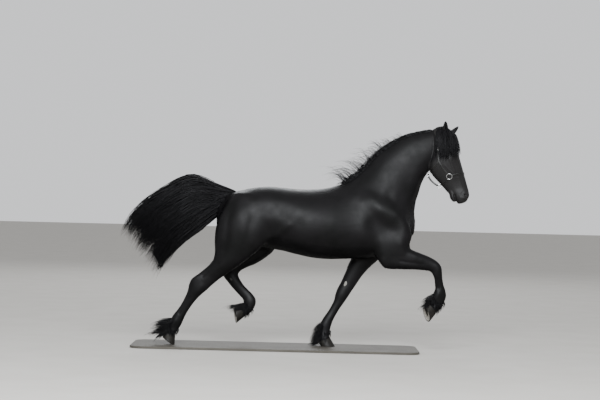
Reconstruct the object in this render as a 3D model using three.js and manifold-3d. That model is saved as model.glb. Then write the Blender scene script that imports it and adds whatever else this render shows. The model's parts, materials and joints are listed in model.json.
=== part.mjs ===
// A friesian horse at an extended trot, life-size, with a show halter, on a plain display base.
// Millimetres. +X runs from tail to nose, +Y to the horse's left, +Z up; the origin is the middle of
// the base's underside. The right hind toe and the left fore hoof bear on the base, the other
// diagonal pair is in the air. Every body part is lofted through hand-set sections, the lofts are
// joined and the whole is parted again with thin cuts.
import * as THREE from "three";
import { mergeVertices } from "three/addons/utils/BufferGeometryUtils.js";
import Module from "manifold-3d";

const wasm = await Module();
wasm.setup();

// Driving dimensions
const GAP = 0.3; // left between neighbouring pieces
const BASE = { length: 2500, width: 700, thick: 20, corner: 110, bevel: 3 };
const SOLE_HEIGHT = BASE.thick + GAP; // heights below are measured from the soles
const SIDES = { right: -1, left: 1 };
const RING = { trunk: 22, neck: 18, head: 18, limb: 12, hoof: 14 };
const PITCH = { trunk: 120, neck: 120, head: 56, limb: 75 };

// The trunk from breast to buttock: x, top, bottom, half width, height of the widest part,
// and how sharp the back and the underside are (1 is an ellipse, more is a ridge).
const TRUNK = [
  [1178, 1215, 1000, 70, 1105, 1, 1],
  [1140, 1330, 930, 135, 1100, 1, 1],
  [1060, 1400, 868, 190, 1085, 1, 1],
  [950, 1440, 822, 222, 1065, 1, 1],
  [820, 1470, 795, 236, 1050, 1.1, 0.95],
  [690, 1488, 784, 243, 1040, 1.5, 0.9],
  [580, 1452, 778, 256, 1035, 1.5, 0.9],
  [450, 1404, 773, 276, 1035, 1.2, 0.9],
  [320, 1384, 781, 291, 1045, 1.02, 0.9],
  [180, 1381, 806, 296, 1060, 0.92, 0.92],
  [40, 1391, 838, 284, 1090, 0.86, 0.95],
  [-80, 1398, 852, 262, 1130, 0.82, 1],
  [-200, 1388, 862, 246, 1150, 0.84, 1],
  [-320, 1362, 880, 222, 1150, 0.9, 1],
  [-420, 1330, 905, 176, 1140, 0.95, 1],
  [-495, 1255, 960, 105, 1120, 1, 1],
];

// The neck from withers to poll: crest x and z, throat x and z, half width, where the widest part
// lies between throat (0) and crest (1), and how sharp the crest and the throat are.
const NECK = [
  [560, 1430, 1100, 935, 188, 0.45, 1.3, 1],
  [725, 1553, 1188, 1130, 165, 0.45, 1.4, 1],
  [845, 1688, 1202, 1275, 132, 0.43, 1.4, 0.95],
  [974, 1787, 1230, 1374, 108, 0.42, 1.3, 0.95],
  [1103, 1864, 1251, 1452, 95, 0.42, 1.25, 0.95],
  [1234, 1902, 1288, 1528, 88, 0.42, 1.2, 0.95],
  [1335, 1922, 1335, 1590, 78, 0.45, 1.1, 1],
];

// The head hangs in its own frame: u runs down from the poll to the lips, v out through the
// forehead, w to the left. Its rows hold u, forehead v, jaw v, half width, v of the widest part,
// and how sharp the forehead and the jaw are.
const HEAD = { poll: [1402, 0, 1950], nod: 15.7, yaw: -8, tilt: -4 };
const SKULL = [
  [6, 40, -72, 46, -15, 0.8, 1],
  [58, 82, -115, 70, 5, 0.7, 1],
  [120, 100, -140, 90, 25, 0.6, 1],
  [185, 104, -152, 103, 38, 0.55, 0.95],
  [245, 102, -164, 110, 45, 0.55, 0.8],
  [300, 101, -177, 106, 25, 0.6, 0.65],
  [350, 102, -181, 98, 0, 0.65, 0.6],
  [405, 103, -164, 87, 0, 0.7, 0.65],
  [460, 104, -134, 73, 5, 0.75, 0.8],
  [520, 105, -103, 60, 12, 0.8, 0.9],
  [572, 106, -77, 54, 20, 0.8, 0.95],
  [612, 106, -46, 58, 32, 0.72, 0.9],
  [650, 98, -27, 59, 32, 0.72, 0.9],
  [680, 72, -20, 50, 24, 0.85, 0.9],
];
const CHIN = [
  [548, -10, -80, 44, -40, 0.8, 0.9],
  [590, -12, -70, 47, -40, 0.8, 0.9],
  [628, -12, -70, 46, -40, 0.8, 0.9],
  [658, -14, -56, 38, -36, 0.9, 0.9],
];
const MOUTH = { from: 600, to: 720, v: -20, line: 4, depth: 9 };
const NOSTRIL = { u: 638, v: 70, w: 56, long: 27, high: 13, deep: 17, lean: 35 };
const EYE = { u: 252, v: 50, w: 88, ball: 21, lid: 26, open: [21, 12.5] };
const EAR = { long: 128, wide: 27, deep: 20, wall: 5, base: 21 };
const EARS = {
  right: { base: [66, 34, -56], tip: [-36, 62, -66], open: [0.25, 0.75, -0.6] },
  left: { base: [76, 46, 56], tip: [20, 158, 74], open: [0.8, 0.2, 0.55] },
};

// Each limb is one loft from inside the trunk to the coronet. Its rows hold the front edge's x and z,
// the back edge's x and z, the distance from the middle of the body, and the width.
const LIMBS = {
  foreleg_right: [
    [775, 1412, 640, 1388, 80, 84],
    [905, 1330, 650, 1284, 114, 130],
    [1035, 1238, 700, 1165, 138, 168],
    [1128, 1130, 755, 1040, 146, 184],
    [1168, 1010, 810, 915, 150, 186],
    [1150, 922, 872, 790, 150, 170],
    [1160, 886, 935, 714, 150, 148],
    [1190, 871, 1060, 704, 150, 128],
    [1273, 841, 1205, 704, 149, 108],
    [1335, 815, 1288, 699, 147, 92],
    [1394, 780, 1336, 686, 145, 90],
    [1428, 738, 1356, 660, 143, 90],
    [1438, 686, 1370, 624, 140, 78],
    [1445, 625, 1375, 580, 136, 60],
    [1456, 575, 1378, 544, 132, 54],
    [1471, 535, 1370, 515, 128, 66],
    [1481, 482, 1352, 476, 124, 74],
    [1466, 425, 1352, 436, 121, 68],
    [1438, 376, 1342, 405, 118, 72],
  ],
  foreleg_left: [
    [765, 1412, 630, 1388, 80, 84],
    [890, 1330, 640, 1284, 114, 130],
    [1012, 1238, 678, 1165, 138, 168],
    [1098, 1130, 704, 1040, 146, 184],
    [1116, 1010, 706, 915, 148, 184],
    [1010, 872, 676, 830, 148, 168],
    [868, 748, 650, 770, 146, 142],
    [812, 692, 626, 712, 144, 124],
    [748, 614, 596, 636, 140, 104],
    [704, 545, 566, 566, 136, 92],
    [664, 484, 536, 508, 131, 92],
    [636, 438, 520, 460, 126, 86],
    [600, 384, 506, 400, 120, 66],
    [566, 334, 482, 350, 114, 56],
    [534, 280, 450, 296, 107, 56],
    [508, 228, 412, 240, 101, 68],
    [492, 180, 388, 186, 97, 74],
    [481, 134, 384, 138, 94, 70],
    [480, 108, 378, 92, 92, 80],
  ],
  hindleg_right: [
    [-90, 1280, -400, 1325, 104, 170],
    [-30, 1140, -490, 1170, 134, 236],
    [-28, 1020, -532, 1050, 145, 252],
    [-70, 925, -544, 925, 149, 236],
    [-150, 848, -540, 825, 149, 204],
    [-246, 764, -552, 752, 147, 172],
    [-345, 686, -592, 700, 143, 138],
    [-428, 626, -632, 664, 138, 112],
    [-500, 575, -682, 622, 133, 96],
    [-556, 526, -738, 576, 130, 94],
    [-603, 480, -760, 530, 128, 94],
    [-645, 443, -768, 486, 126, 86],
    [-684, 403, -784, 438, 123, 70],
    [-728, 346, -812, 378, 117, 60],
    [-768, 282, -850, 315, 110, 58],
    [-798, 220, -898, 250, 104, 70],
    [-814, 180, -920, 205, 100, 76],
    [-838, 138, -930, 158, 98, 70],
    [-856, 112, -942, 118, 97, 76],
  ],
  hindleg_left: [
    [-90, 1280, -400, 1325, 104, 170],
    [-20, 1140, -484, 1170, 134, 236],
    [4, 1020, -500, 1045, 145, 252],
    [8, 925, -462, 925, 149, 236],
    [-30, 835, -396, 850, 148, 204],
    [-104, 768, -360, 812, 144, 168],
    [-186, 714, -380, 778, 140, 138],
    [-262, 676, -426, 748, 136, 112],
    [-318, 646, -478, 706, 132, 96],
    [-340, 618, -494, 656, 129, 94],
    [-334, 590, -474, 594, 126, 92],
    [-318, 562, -432, 540, 123, 84],
    [-290, 522, -384, 484, 119, 68],
    [-250, 482, -326, 424, 115, 60],
    [-214, 448, -296, 392, 111, 64],
    [-182, 404, -290, 366, 108, 74],
    [-178, 362, -284, 352, 107, 74],
    [-194, 316, -284, 340, 106, 70],
    [-224, 276, -300, 338, 105, 78],
  ],
};
// Where each limb leaves the trunk and where it is parted at its knee or hock, as two x, z points;
// the hoof by its toe and how far it is turned toe-down; the feather by its root and its reach.
const FEET = {
  foreleg_right: {
    top: [[868, 752], [1140, 893]], mid: [[1330, 900], [1270, 640]],
    toe: [1328, 116, 253], turn: -73, feather: [[1362, 468], [-104, -72]],
  },
  foreleg_left: {
    top: [[640, 764], [900, 772]], mid: [[780, 500], [480, 560]],
    toe: [528, 90, 0], turn: 0, feather: [[412, 190], [-74, -96]],
  },
  hindleg_right: {
    top: [[-560, 738], [-200, 800]], mid: [[-480, 500], [-720, 690]],
    toe: [-876, 96, -9], turn: -35, feather: [[-908, 184], [-192, -46]],
  },
  hindleg_left: {
    top: [[-400, 742], [-60, 812]], mid: [[-300, 590], [-440, 800]],
    toe: [-350, 104, 185], turn: -82, feather: [[-268, 368], [-160, -44]],
  },
};
const CUTS = {
  neck: [[600, 1580], [1215, 1085]], // withers to breast, leaning forward
  head: [[1372, 1990], [1292, 1500]], // behind the ears to the throat
};

// The hoof in its own frame, the sole at height 0 and the toe forward: front x and z, back x and z,
// half width.
const HOOF = [
  [75, 0, -52, 0, 62],
  [72, 6, -53, 4, 62],
  [52, 40, -63, 20, 56],
  [28, 78, -74, 34, 49],
];
const CORONET = HOOF.at(-1);

// Hair grows in flat, tapering locks. A count of locks, their width and thickness, and the length
// along the lock of one wave, with how far it swings.
const SEED = 1879;
const TAIL = {
  upper: [
    [-425, 1326], [-600, 1404], [-775, 1462], [-950, 1380], [-1150, 1262], [-1310, 1090], [-1378, 968],
  ],
  lower: [
    [-450, 1285], [-525, 1190], [-625, 1085], [-735, 985], [-850, 890], [-950, 765], [-1034, 632],
  ],
  spread: [26, 62, 96, 122, 128, 110, 78],
  core: 0.5,
  long: { count: 8, from: 0.1, to: 0.82, wide: 118, thick: 34, steps: 5 },
  tips: { count: 18, from: 0.42, to: 1, wide: 112, thick: 26, steps: 4 },
  fringe: { count: 5, long: 150, wide: 40, thick: 14 },
};
const MANE = {
  from: 0.03, to: 0.93, count: 16, long: [400, 530], lean: 19.4, wide: 108, thick: 24, steps: 5,
  core: {
    thick: 14,
    outline: [
      [560, 1428], [845, 1688], [1103, 1864], [1335, 1935], [1325, 1800], [1130, 1690], [930, 1540],
      [720, 1390], [640, 1330],
    ],
  },
  wisps: [
    [0.1, -150, 30], [0.17, -142, 66], [0.22, -128, 8], [0.29, -118, 52], [0.36, -96, 12],
    [0.45, -104, 34], [0.55, -74, 10],
  ],
};
// A forelock lock starts between the ears and ends at u, both ends given by their turn round the
// head from the forehead, in degrees.
const FORELOCK = {
  locks: [
    [-10, -24, 296], [-24, -46, 290], [-38, -66, 296], [-50, -86, 270], [0, -4, 300], [10, 12, 282],
    [22, 34, 262], [36, 56, 232], [50, 78, 190],
  ],
  wide: 50, thick: 17, steps: 4,
};
const FEATHER = { wide: 56, thick: 17, steps: 3, levels: [0, 0.42, 0.8], around: [-0.75, 0.75] };
// Halter points in the side view of the head, as u and v; half widths of the head at the fittings.
const STRAP = { wide: 20, narrow: 15, thick: 4 };
const HALTER = {
  nose: [444, -26], joint: [292, -80], buckle: [186, -60], crown: [2, -46],
  throat: [366, -190], chin: [486, -132],
};
const RINGS = {
  cheek: { radius: 25, rod: 3.8, at: [444, -26, 84], sides: [12, 5] },
  chin: { radius: 17, rod: 3.2, at: [498, -140, 0], sides: [9, 4] },
};
const BUCKLE = { at: [184, -59, 112], long: 34, wide: 30, bar: 5, turn: -94 };
const STRAP_END = { from: [370, -204], to: [476, -172], wide: 13, thick: 4 };

const COLOURS = {
  coat: { color: 0x17161a, roughness: 0.42, metalness: 0 },
  hair: { color: 0x0d0d0f, roughness: 0.5, metalness: 0 },
  hoof: { color: 0x2b2825, roughness: 0.6, metalness: 0 },
  eye: { color: 0x120a06, roughness: 0.08, metalness: 0 },
  leather: { color: 0x141211, roughness: 0.35, metalness: 0 },
  fitting: { color: 0xc9cbce, roughness: 0.22, metalness: 1 },
  base: { color: 0xb3aca4, roughness: 0.8, metalness: 0 },
};

const vec = (x, y, z) => new THREE.Vector3(x, y, z);
const at = (p) => vec(...p);
const mix = (a, b, t) => a.clone().lerp(b, t);

// Joining and cutting
function solidOf(geometry) {
  const bare = geometry.index ? geometry.toNonIndexed() : geometry.clone();
  for (const name of Object.keys(bare.attributes)) {
    if (name !== "position") bare.deleteAttribute(name);
  }
  const merged = mergeVertices(bare, 1e-3);
  const mesh = new wasm.Mesh({
    numProp: 3,
    vertProperties: Float32Array.from(merged.attributes.position.array),
    triVerts: Uint32Array.from(merged.index.array),
  });
  const solid = new wasm.Manifold(mesh);
  if (solid.volume() > 0) return solid;
  const turned = mesh.triVerts.map((v, i, all) => all[i - (i % 3) + [0, 2, 1][i % 3]]);
  return new wasm.Manifold(new wasm.Mesh({ ...mesh, numProp: 3, triVerts: turned }));
}

function geometryOf(solid) {
  const { numProp, vertProperties, triVerts } = solid.getMesh();
  const count = vertProperties.length / numProp;
  const points = new Float32Array(count * 3);
  for (let i = 0; i < count; i++) {
    points.set(vertProperties.subarray(i * numProp, i * numProp + 3), i * 3);
  }
  const geometry = new THREE.BufferGeometry();
  geometry.setAttribute("position", new THREE.BufferAttribute(points, 3));
  geometry.setIndex(new THREE.BufferAttribute(triVerts, 1));
  return geometry;
}

const join = (...solids) => solids.reduce((whole, next) => whole.add(next));
const largest = (solid) => solid.decompose().reduce((a, b) => (a.volume() > b.volume() ? a : b));

// Keeps what lies on one side of an upright cut through two x, z points: the right of the way from
// the first to the second, or the left. Slack moves the cut outward.
function side(solid, [[x0, z0], [x1, z1]], keepRight, slack = 0) {
  const along = new THREE.Vector2(x1 - x0, z1 - z0).normalize();
  const sign = keepRight ? 1 : -1;
  const normal = [along.y * sign, 0, -along.x * sign];
  return solid.trimByPlane(normal, normal[0] * x0 + normal[2] * z0 - slack);
}

function mirrorless(geometry, matrix) {
  return solidOf(geometry.clone().applyMatrix4(matrix));
}

// Lofting
// A row is a section: two opposite edge points a and b, a half width to either side, how far the
// widest part lies from b to a, and how sharp the a end and the b end are.
function section(row, count) {
  const [ax, ay, az, bx, by, bz, half, widest, sharpA, sharpB] = row;
  const a = vec(ax, ay, az);
  const b = vec(bx, by, bz);
  const middle = mix(b, a, widest);
  const across = vec(0, 1, 0);
  return Array.from({ length: count }, (_, i) => {
    const turn = (2 * Math.PI * i) / count;
    const along = Math.cos(turn);
    const out = Math.sin(turn);
    const sharp = along > 0 ? sharpA : sharpB;
    const point = mix(middle, along > 0 ? a : b, Math.abs(along));
    return point.addScaledVector(across, half * Math.sign(out) * Math.abs(out) ** sharp);
  });
}

// Rows between the given ones, on a smooth curve through them.
function refine(rows, pitch) {
  const spot = (r) => vec((r[0] + r[3]) / 2, (r[1] + r[4]) / 2, (r[2] + r[5]) / 2);
  const knots = [0];
  for (let i = 1; i < rows.length; i++) {
    knots.push(knots[i - 1] + Math.max(spot(rows[i]).distanceTo(spot(rows[i - 1])), 10));
  }
  const slope = (i, k) => {
    const low = Math.max(i - 1, 0);
    const high = Math.min(i + 1, rows.length - 1);
    return (rows[high][k] - rows[low][k]) / (knots[high] - knots[low]);
  };
  const out = [];
  for (let i = 0; i + 1 < rows.length; i++) {
    const span = knots[i + 1] - knots[i];
    const steps = Math.max(1, Math.round(span / pitch));
    for (let s = 0; s < steps; s++) {
      const t = s / steps;
      const t2 = t * t;
      const t3 = t2 * t;
      out.push(
        rows[i].map((value, k) =>
          value * (2 * t3 - 3 * t2 + 1) +
          rows[i + 1][k] * (3 * t2 - 2 * t3) +
          slope(i, k) * span * (t3 - 2 * t2 + t) +
          slope(i + 1, k) * span * (t3 - t2)),
      );
    }
  }
  out.push(rows.at(-1));
  return out;
}

// Rings of points joined into one closed geometry, with a point or a fan at either end.
function skinned(rings, first, last) {
  const count = rings[0].length;
  const points = [first, ...rings.flat(), last];
  const end = points.length - 1;
  const faces = [];
  for (let i = 0; i < count; i++) {
    const j = (i + 1) % count;
    faces.push(0, 1 + j, 1 + i);
    for (let k = 0; k + 1 < rings.length; k++) {
      const p = 1 + k * count;
      const q = p + count;
      faces.push(p + i, p + j, q + j, p + i, q + j, q + i);
    }
    const p = 1 + (rings.length - 1) * count;
    faces.push(end, p + i, p + j);
  }
  const geometry = new THREE.BufferGeometry().setFromPoints(points);
  geometry.setIndex(faces);
  return geometry;
}

const centreOf = (ring) =>
  ring.reduce((sum, p) => sum.add(p), vec(0, 0, 0)).divideScalar(ring.length);

// A loft through rows, each end flat (0) or domed by that many millimetres.
function loft(rows, { count, pitch, domes = [0, 0], grow = 0 }) {
  const grown = refine(rows, pitch).map((r) => {
    const a = vec(r[0], r[1], r[2]);
    const b = vec(r[3], r[4], r[5]);
    const out = a.clone().sub(b).normalize().multiplyScalar(grow);
    a.add(out);
    b.sub(out);
    return [a.x, a.y, a.z, b.x, b.y, b.z, r[6] + grow, ...r.slice(7)];
  });
  const rings = grown.map((r) => section(r, count));
  const dome = (from, inner, height) => {
    const centre = centreOf(from);
    const out = centre.clone().sub(centreOf(inner)).normalize();
    const layers = [[0.866, 0.5], [0.5, 0.866]].map(([scale, rise]) =>
      from.map((p) => mix(centre, p, scale).addScaledVector(out, rise * height)));
    return { layers, tip: centre.addScaledVector(out, height) };
  };
  const flat = (from) => ({ layers: [], tip: centreOf(from) });
  const start = domes[0] ? dome(rings[0], rings[1], domes[0] + grow) : flat(rings[0]);
  const stop = domes[1] ? dome(rings.at(-1), rings.at(-2), domes[1] + grow) : flat(rings.at(-1));
  const all = [...start.layers.reverse(), ...rings, ...stop.layers];
  return solidOf(skinned(all, start.tip, stop.tip));
}

// Trunk and neck
const trunkRows = TRUNK.map(([x, top, bottom, half, mid, sharpTop, sharpBottom]) =>
  [x, 0, top, x, 0, bottom, half, (mid - bottom) / (top - bottom), sharpTop, sharpBottom]);
const neckRows = NECK.map(([cx, cz, tx, tz, half, widest, crest, throat]) =>
  [cx, 0, cz, tx, 0, tz, half, widest, crest, throat]);
const trunk = (grow = 0) =>
  loft(trunkRows, { count: RING.trunk, pitch: PITCH.trunk, domes: [28, 45], grow });
const neck = (grow = 0) =>
  loft(neckRows, { count: RING.neck, pitch: PITCH.neck, domes: [60, 40], grow });

// The head's frame
const headFrame = new THREE.Matrix4()
  .makeTranslation(...HEAD.poll)
  .multiply(new THREE.Matrix4().makeRotationZ(THREE.MathUtils.degToRad(HEAD.yaw)))
  .multiply(new THREE.Matrix4().makeRotationX(THREE.MathUtils.degToRad(HEAD.tilt)))
  .multiply(new THREE.Matrix4().makeRotationY(THREE.MathUtils.degToRad(-HEAD.nod)))
  .multiply(new THREE.Matrix4().makeBasis(vec(0, 0, -1), vec(1, 0, 0), vec(0, 1, 0)));
const inHead = (u, v, w) => vec(u, v, w).applyMatrix4(headFrame);

function headLoft(rows, domes, grow = 0) {
  const level = rows.map(([u, face, jaw, half, wide, sharpFace, sharpJaw]) =>
    [face, 0, -u, jaw, 0, -u, half, (wide - jaw) / (face - jaw), sharpFace, sharpJaw]);
  const solid = loft(level, { count: RING.head, pitch: PITCH.head, domes, grow });
  const upright = new THREE.Matrix4().makeBasis(vec(0, 1, 0), vec(0, 0, 1), vec(-1, 0, 0));
  return solid.transform(headFrame.clone().multiply(upright).elements);
}
const skull = (grow = 0) => headLoft(SKULL, [14, 18], grow);
const chin = (grow = 0) => headLoft(CHIN, [20, 10], grow);

const ball = (radius, centre, stretch = [1, 1, 1], detail = [10, 7]) => {
  const geometry = new THREE.SphereGeometry(radius, ...detail).scale(...stretch);
  return solidOf(geometry).translate([centre.x, centre.y, centre.z]);
};
// A box in the head's frame, centred on u, v, w and turned about the w axis.
function headBox([u, v, w], [du, dv, dw], turn = 0) {
  const place = headFrame.clone()
    .multiply(new THREE.Matrix4().makeTranslation(u, v, w))
    .multiply(new THREE.Matrix4().makeRotationZ(THREE.MathUtils.degToRad(turn)));
  return mirrorless(new THREE.BoxGeometry(du, dv, dw), place);
}

function mouthGroove() {
  const { from, to, v, line, depth } = MOUTH;
  const slot = headBox([(from + to) / 2, v, 0], [to - from, line, 200]);
  return slot.subtract(skull(-depth)).subtract(chin(-depth));
}

function nostril(sign) {
  const { u, v, w, long, high, deep, lean } = NOSTRIL;
  const place = headFrame.clone()
    .multiply(new THREE.Matrix4().makeTranslation(u, v, sign * w))
    .multiply(new THREE.Matrix4().makeRotationZ(THREE.MathUtils.degToRad(lean)))
    .multiply(new THREE.Matrix4().makeScale(long, high, deep));
  return mirrorless(new THREE.SphereGeometry(1, 10, 6), place);
}

const eyeCentre = (sign) => inHead(EYE.u, EYE.v, sign * EYE.w);
function eyeOpening(sign) {
  const [long, high] = EYE.open;
  const place = headFrame.clone()
    .multiply(new THREE.Matrix4().makeTranslation(EYE.u, EYE.v, sign * (EYE.w + EYE.ball)))
    .multiply(new THREE.Matrix4().makeScale(long, high, EYE.ball));
  return mirrorless(new THREE.SphereGeometry(1, 8, 6), place);
}

function headSolid() {
  let solid = join(skull(), chin());
  for (const sign of Object.values(SIDES)) {
    solid = solid.subtract(nostril(sign)).add(ball(EYE.lid, eyeCentre(sign)));
  }
  for (const sign of Object.values(SIDES)) {
    solid = solid.subtract(ball(EYE.ball + GAP, eyeCentre(sign)));
    solid = solid.subtract(eyeOpening(sign));
  }
  return solid.subtract(mouthGroove());
}

// A cupped ear: a leaf-shaped loft with a smaller one taken out of its open side.
function ear({ base, tip, open }, grow = 0) {
  const root = inHead(...base);
  const point = inHead(...tip);
  const up = point.clone().sub(root).normalize();
  const facing = inHead(...open).sub(inHead(0, 0, 0));
  facing.addScaledVector(up, -facing.dot(up)).normalize();
  const across = up.clone().cross(facing);
  const long = point.distanceTo(root);
  const leaf = (shrink, forward) => {
    const shape = [[-0.15, 0.8], [0.05, 0.85], [0.3, 1], [0.52, 0.94], [0.74, 0.68], [0.9, 0.36]];
    const rings = shape.map(([t, size]) => {
      const wide = Math.max(EAR.wide * size - shrink, 2);
      const deep = Math.max(EAR.deep * size - shrink, 2);
      const centre = root.clone().addScaledVector(up, t * long).addScaledVector(facing, forward);
      return Array.from({ length: 10 }, (_, i) => {
        const turn = (2 * Math.PI * i) / 10;
        return centre.clone()
          .addScaledVector(across, wide * Math.sin(turn))
          .addScaledVector(facing, deep * Math.cos(turn));
      });
    });
    const top = root.clone().addScaledVector(up, long - shrink).addScaledVector(facing, forward);
    return solidOf(skinned(rings, centreOf(rings[0]), top));
  };
  if (grow) return leaf(-grow, 0);
  const hollow = leaf(EAR.wall, EAR.deep * 0.55);
  const floor = root.clone().addScaledVector(up, long * 0.12);
  const cup = hollow.trimByPlane(up.toArray(), up.dot(floor));
  return leaf(0, 0).subtract(cup);
}

// Legs
function hoofFrame({ toe, turn }, sign) {
  const frame = new THREE.Matrix4().makeRotationY(THREE.MathUtils.degToRad(-turn));
  const point = vec(HOOF[0][0], 0, HOOF[0][1]).applyMatrix4(frame);
  return frame.setPosition(vec(toe[0], sign * toe[1], toe[2]).sub(point));
}
function hoofRow(foot, sign, [fx, fz, bx, bz, half], drop = 0) {
  const frame = hoofFrame(foot, sign);
  const a = vec(fx, 0, fz - drop).applyMatrix4(frame);
  const b = vec(bx, 0, bz - drop).applyMatrix4(frame);
  return [a.x, a.y, a.z, b.x, b.y, b.z, half, 0.5, 0.85, 0.75];
}
const hoofSpace = (foot, sign) => loft(
  HOOF.map((row) => hoofRow(foot, sign, row)), { count: RING.hoof, pitch: 400, grow: GAP },
);
function hoof(foot, sign) {
  const rows = HOOF.map((row) => hoofRow(foot, sign, row, row === CORONET ? 1.4 * GAP : 0));
  const solid = loft(rows, { count: RING.hoof, pitch: 400 });
  return foot.toe[2] > 1 ? solid : solid.trimByPlane([0, 0, 1], 0);
}
function limb(rows, foot, sign, grow = 0) {
  const coronet = hoofRow(foot, sign, CORONET);
  coronet[6] -= 2;
  const all = rows.map(([fx, fz, bx, bz, y, wide]) =>
    [fx, sign * y, fz, bx, sign * y, bz, wide / 2, 0.5, 0.85, 0.9]);
  return loft([...all, coronet], { count: RING.limb, pitch: PITCH.limb, domes: [40, 0], grow });
}

// Hair
function randomFrom(seed) {
  let state = seed;
  return (low, high) => {
    state = (state + 0x6d2b79f5) | 0;
    let t = Math.imul(state ^ (state >>> 15), 1 | state);
    t = (t + Math.imul(t ^ (t >>> 7), 61 | t)) ^ t;
    return low + ((high - low) * ((t ^ (t >>> 14)) >>> 0)) / 4294967296;
  };
}

// A lock is flat across its facing, widest near a third of its way, and ends in a point.
function lock(points, facing, wide, thick, steps) {
  const curve = new THREE.CatmullRomCurve3(points);
  const rings = [];
  for (let i = 0; i < steps; i++) {
    const t = i / steps;
    const full = 0.72 + 0.28 * Math.sin(Math.PI * Math.min(1, t * 1.6));
    const size = full * (1 - t ** 2.4);
    const along = curve.getTangent(t);
    const across = along.clone().cross(facing).normalize();
    const out = across.clone().cross(along).normalize();
    const centre = curve.getPoint(t);
    rings.push([[0.5, 0], [0, 0.5], [-0.5, 0], [0, -0.5]].map(([a, b]) =>
      centre.clone().addScaledVector(across, a * wide * size).addScaledVector(out, b * thick * size)));
  }
  return solidOf(skinned(rings, centreOf(rings[0]), points.at(-1)));
}

// How far to one side the surface of a body lies at x, z.
function sideOf(solid, sign) {
  const { position, index } = {
    position: geometryOf(solid).attributes.position, index: solid.getMesh().triVerts,
  };
  const corner = (i) => vec(position.getX(i), position.getY(i), position.getZ(i));
  const faces = [];
  for (let i = 0; i < index.length; i += 3) {
    faces.push([corner(index[i]), corner(index[i + 1]), corner(index[i + 2])]);
  }
  const flat = faces.filter(([a, b, c]) =>
    Math.abs((b.x - a.x) * (c.z - a.z) - (c.x - a.x) * (b.z - a.z)) > 1e-6);
  return (x, z) => {
    let best = 0;
    for (const [a, b, c] of flat) {
      const whole = (b.x - a.x) * (c.z - a.z) - (c.x - a.x) * (b.z - a.z);
      const v = ((x - a.x) * (c.z - a.z) - (c.x - a.x) * (z - a.z)) / whole;
      const w = ((b.x - a.x) * (z - a.z) - (x - a.x) * (b.z - a.z)) / whole;
      if (v < 0 || w < 0 || v + w > 1) continue;
      best = Math.max(best, sign * (a.y + v * (b.y - a.y) + w * (c.y - a.y)));
    }
    return best;
  };
}

const curveOf = (points) => new THREE.CatmullRomCurve3(points.map(([x, z]) => vec(x, 0, z)));
const blendOf = (values, t) => {
  const place = t * (values.length - 1);
  const i = Math.min(Math.floor(place), values.length - 2);
  return values[i] + (values[i + 1] - values[i]) * (place - i);
};

// The tail is a fan between an upper and a lower curve; a place in it is how far toward the tips,
// how far from the lower to the upper curve, and how far to the side.
const fanUpper = curveOf(TAIL.upper);
const fanLower = curveOf(TAIL.lower);
function inFan(t, high, across) {
  const point = mix(fanLower.getPoint(t), fanUpper.getPoint(t), high);
  const room = Math.sqrt(Math.max(0, 1 - (2 * high - 1) ** 2));
  point.y = across * blendOf(TAIL.spread, t) * (0.25 + 0.75 * room);
  return point;
}

function tailSolid(random) {
  const { core, long, tips, fringe } = TAIL;
  const rows = Array.from({ length: 7 }, (_, i) => {
    const t = (core * i) / 6;
    const a = inFan(t, 0.97 - 0.12 * (i / 6), 0);
    const b = inFan(t, 0.03 + 0.12 * (i / 6), 0);
    return [a.x, 0, a.z, b.x, 0, b.z, blendOf(TAIL.spread, t) * (0.86 - 0.2 * (i / 6)), 0.5, 0.9, 0.9];
  });
  const pieces = [loft(rows, { count: 12, pitch: 400, domes: [0, 40] })];
  for (const { count, from, to, wide, thick, steps } of [long, tips]) {
    for (let i = 0; i < count; i++) {
      const high = (i + 0.5) / count + random(-0.02, 0.02);
      const across = (i % 2 ? 1 : -1) * random(0.78, 0.96);
      const start = from + random(-0.03, 0.05);
      const end = Math.min(1, to + random(-0.12, 0.04)) * (1 - 0.08 * random(0, 1) * (i % 3 === 0));
      const swing = random(0, 2 * Math.PI);
      const points = Array.from({ length: 7 }, (_, k) => {
        const share = k / 6;
        const t = start + (end - start) * share;
        const ripple = Math.sin(swing + share * 7) * share;
        const inset = k === 0 ? 0.55 : 1;
        return inFan(t, high + 0.022 * ripple, across * inset * (1 - 0.35 * share * share))
          .add(vec(0, 9 * ripple, 5 * ripple));
      });
      const facing = vec(0, Math.sign(across), 0.25 * (2 * high - 1)).normalize();
      pieces.push(lock(points, facing, wide * random(0.8, 1.15), thick, steps));
    }
  }
  for (let i = 0; i < fringe.count; i++) {
    const t = 0.18 + (0.62 * i) / fringe.count;
    const root = inFan(t, 0.2, random(-0.4, 0.4));
    const edge = inFan(t + 0.1, -0.02, random(-0.4, 0.4));
    const drop = vec(-random(0.2, 0.5) * fringe.long, random(-20, 20), -random(0.3, 0.6) * fringe.long);
    const tip = edge.clone().add(drop);
    pieces.push(lock([root, mix(root, edge, 0.6), edge, tip], vec(0, 1, 0), fringe.wide, fringe.thick, 3));
  }
  return join(...pieces);
}

const crestCurve = new THREE.CatmullRomCurve3(NECK.map(([x, z]) => vec(x, 0, z)));

// A sheet of hair is a stretch of the surface under it, thickened, within an outline in side view.
function sheetOver(under, outline) {
  const shape = new THREE.Shape(outline.map(([x, z]) => new THREE.Vector2(x, z)));
  const block = new THREE.ExtrudeGeometry(shape, { depth: 400, bevelEnabled: false });
  const upright = new THREE.Matrix4().makeBasis(vec(1, 0, 0), vec(0, 0, 1), vec(0, -1, 0));
  return mirrorless(block, upright.setPosition(0, 400, 0)).intersect(under);
}

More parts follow.
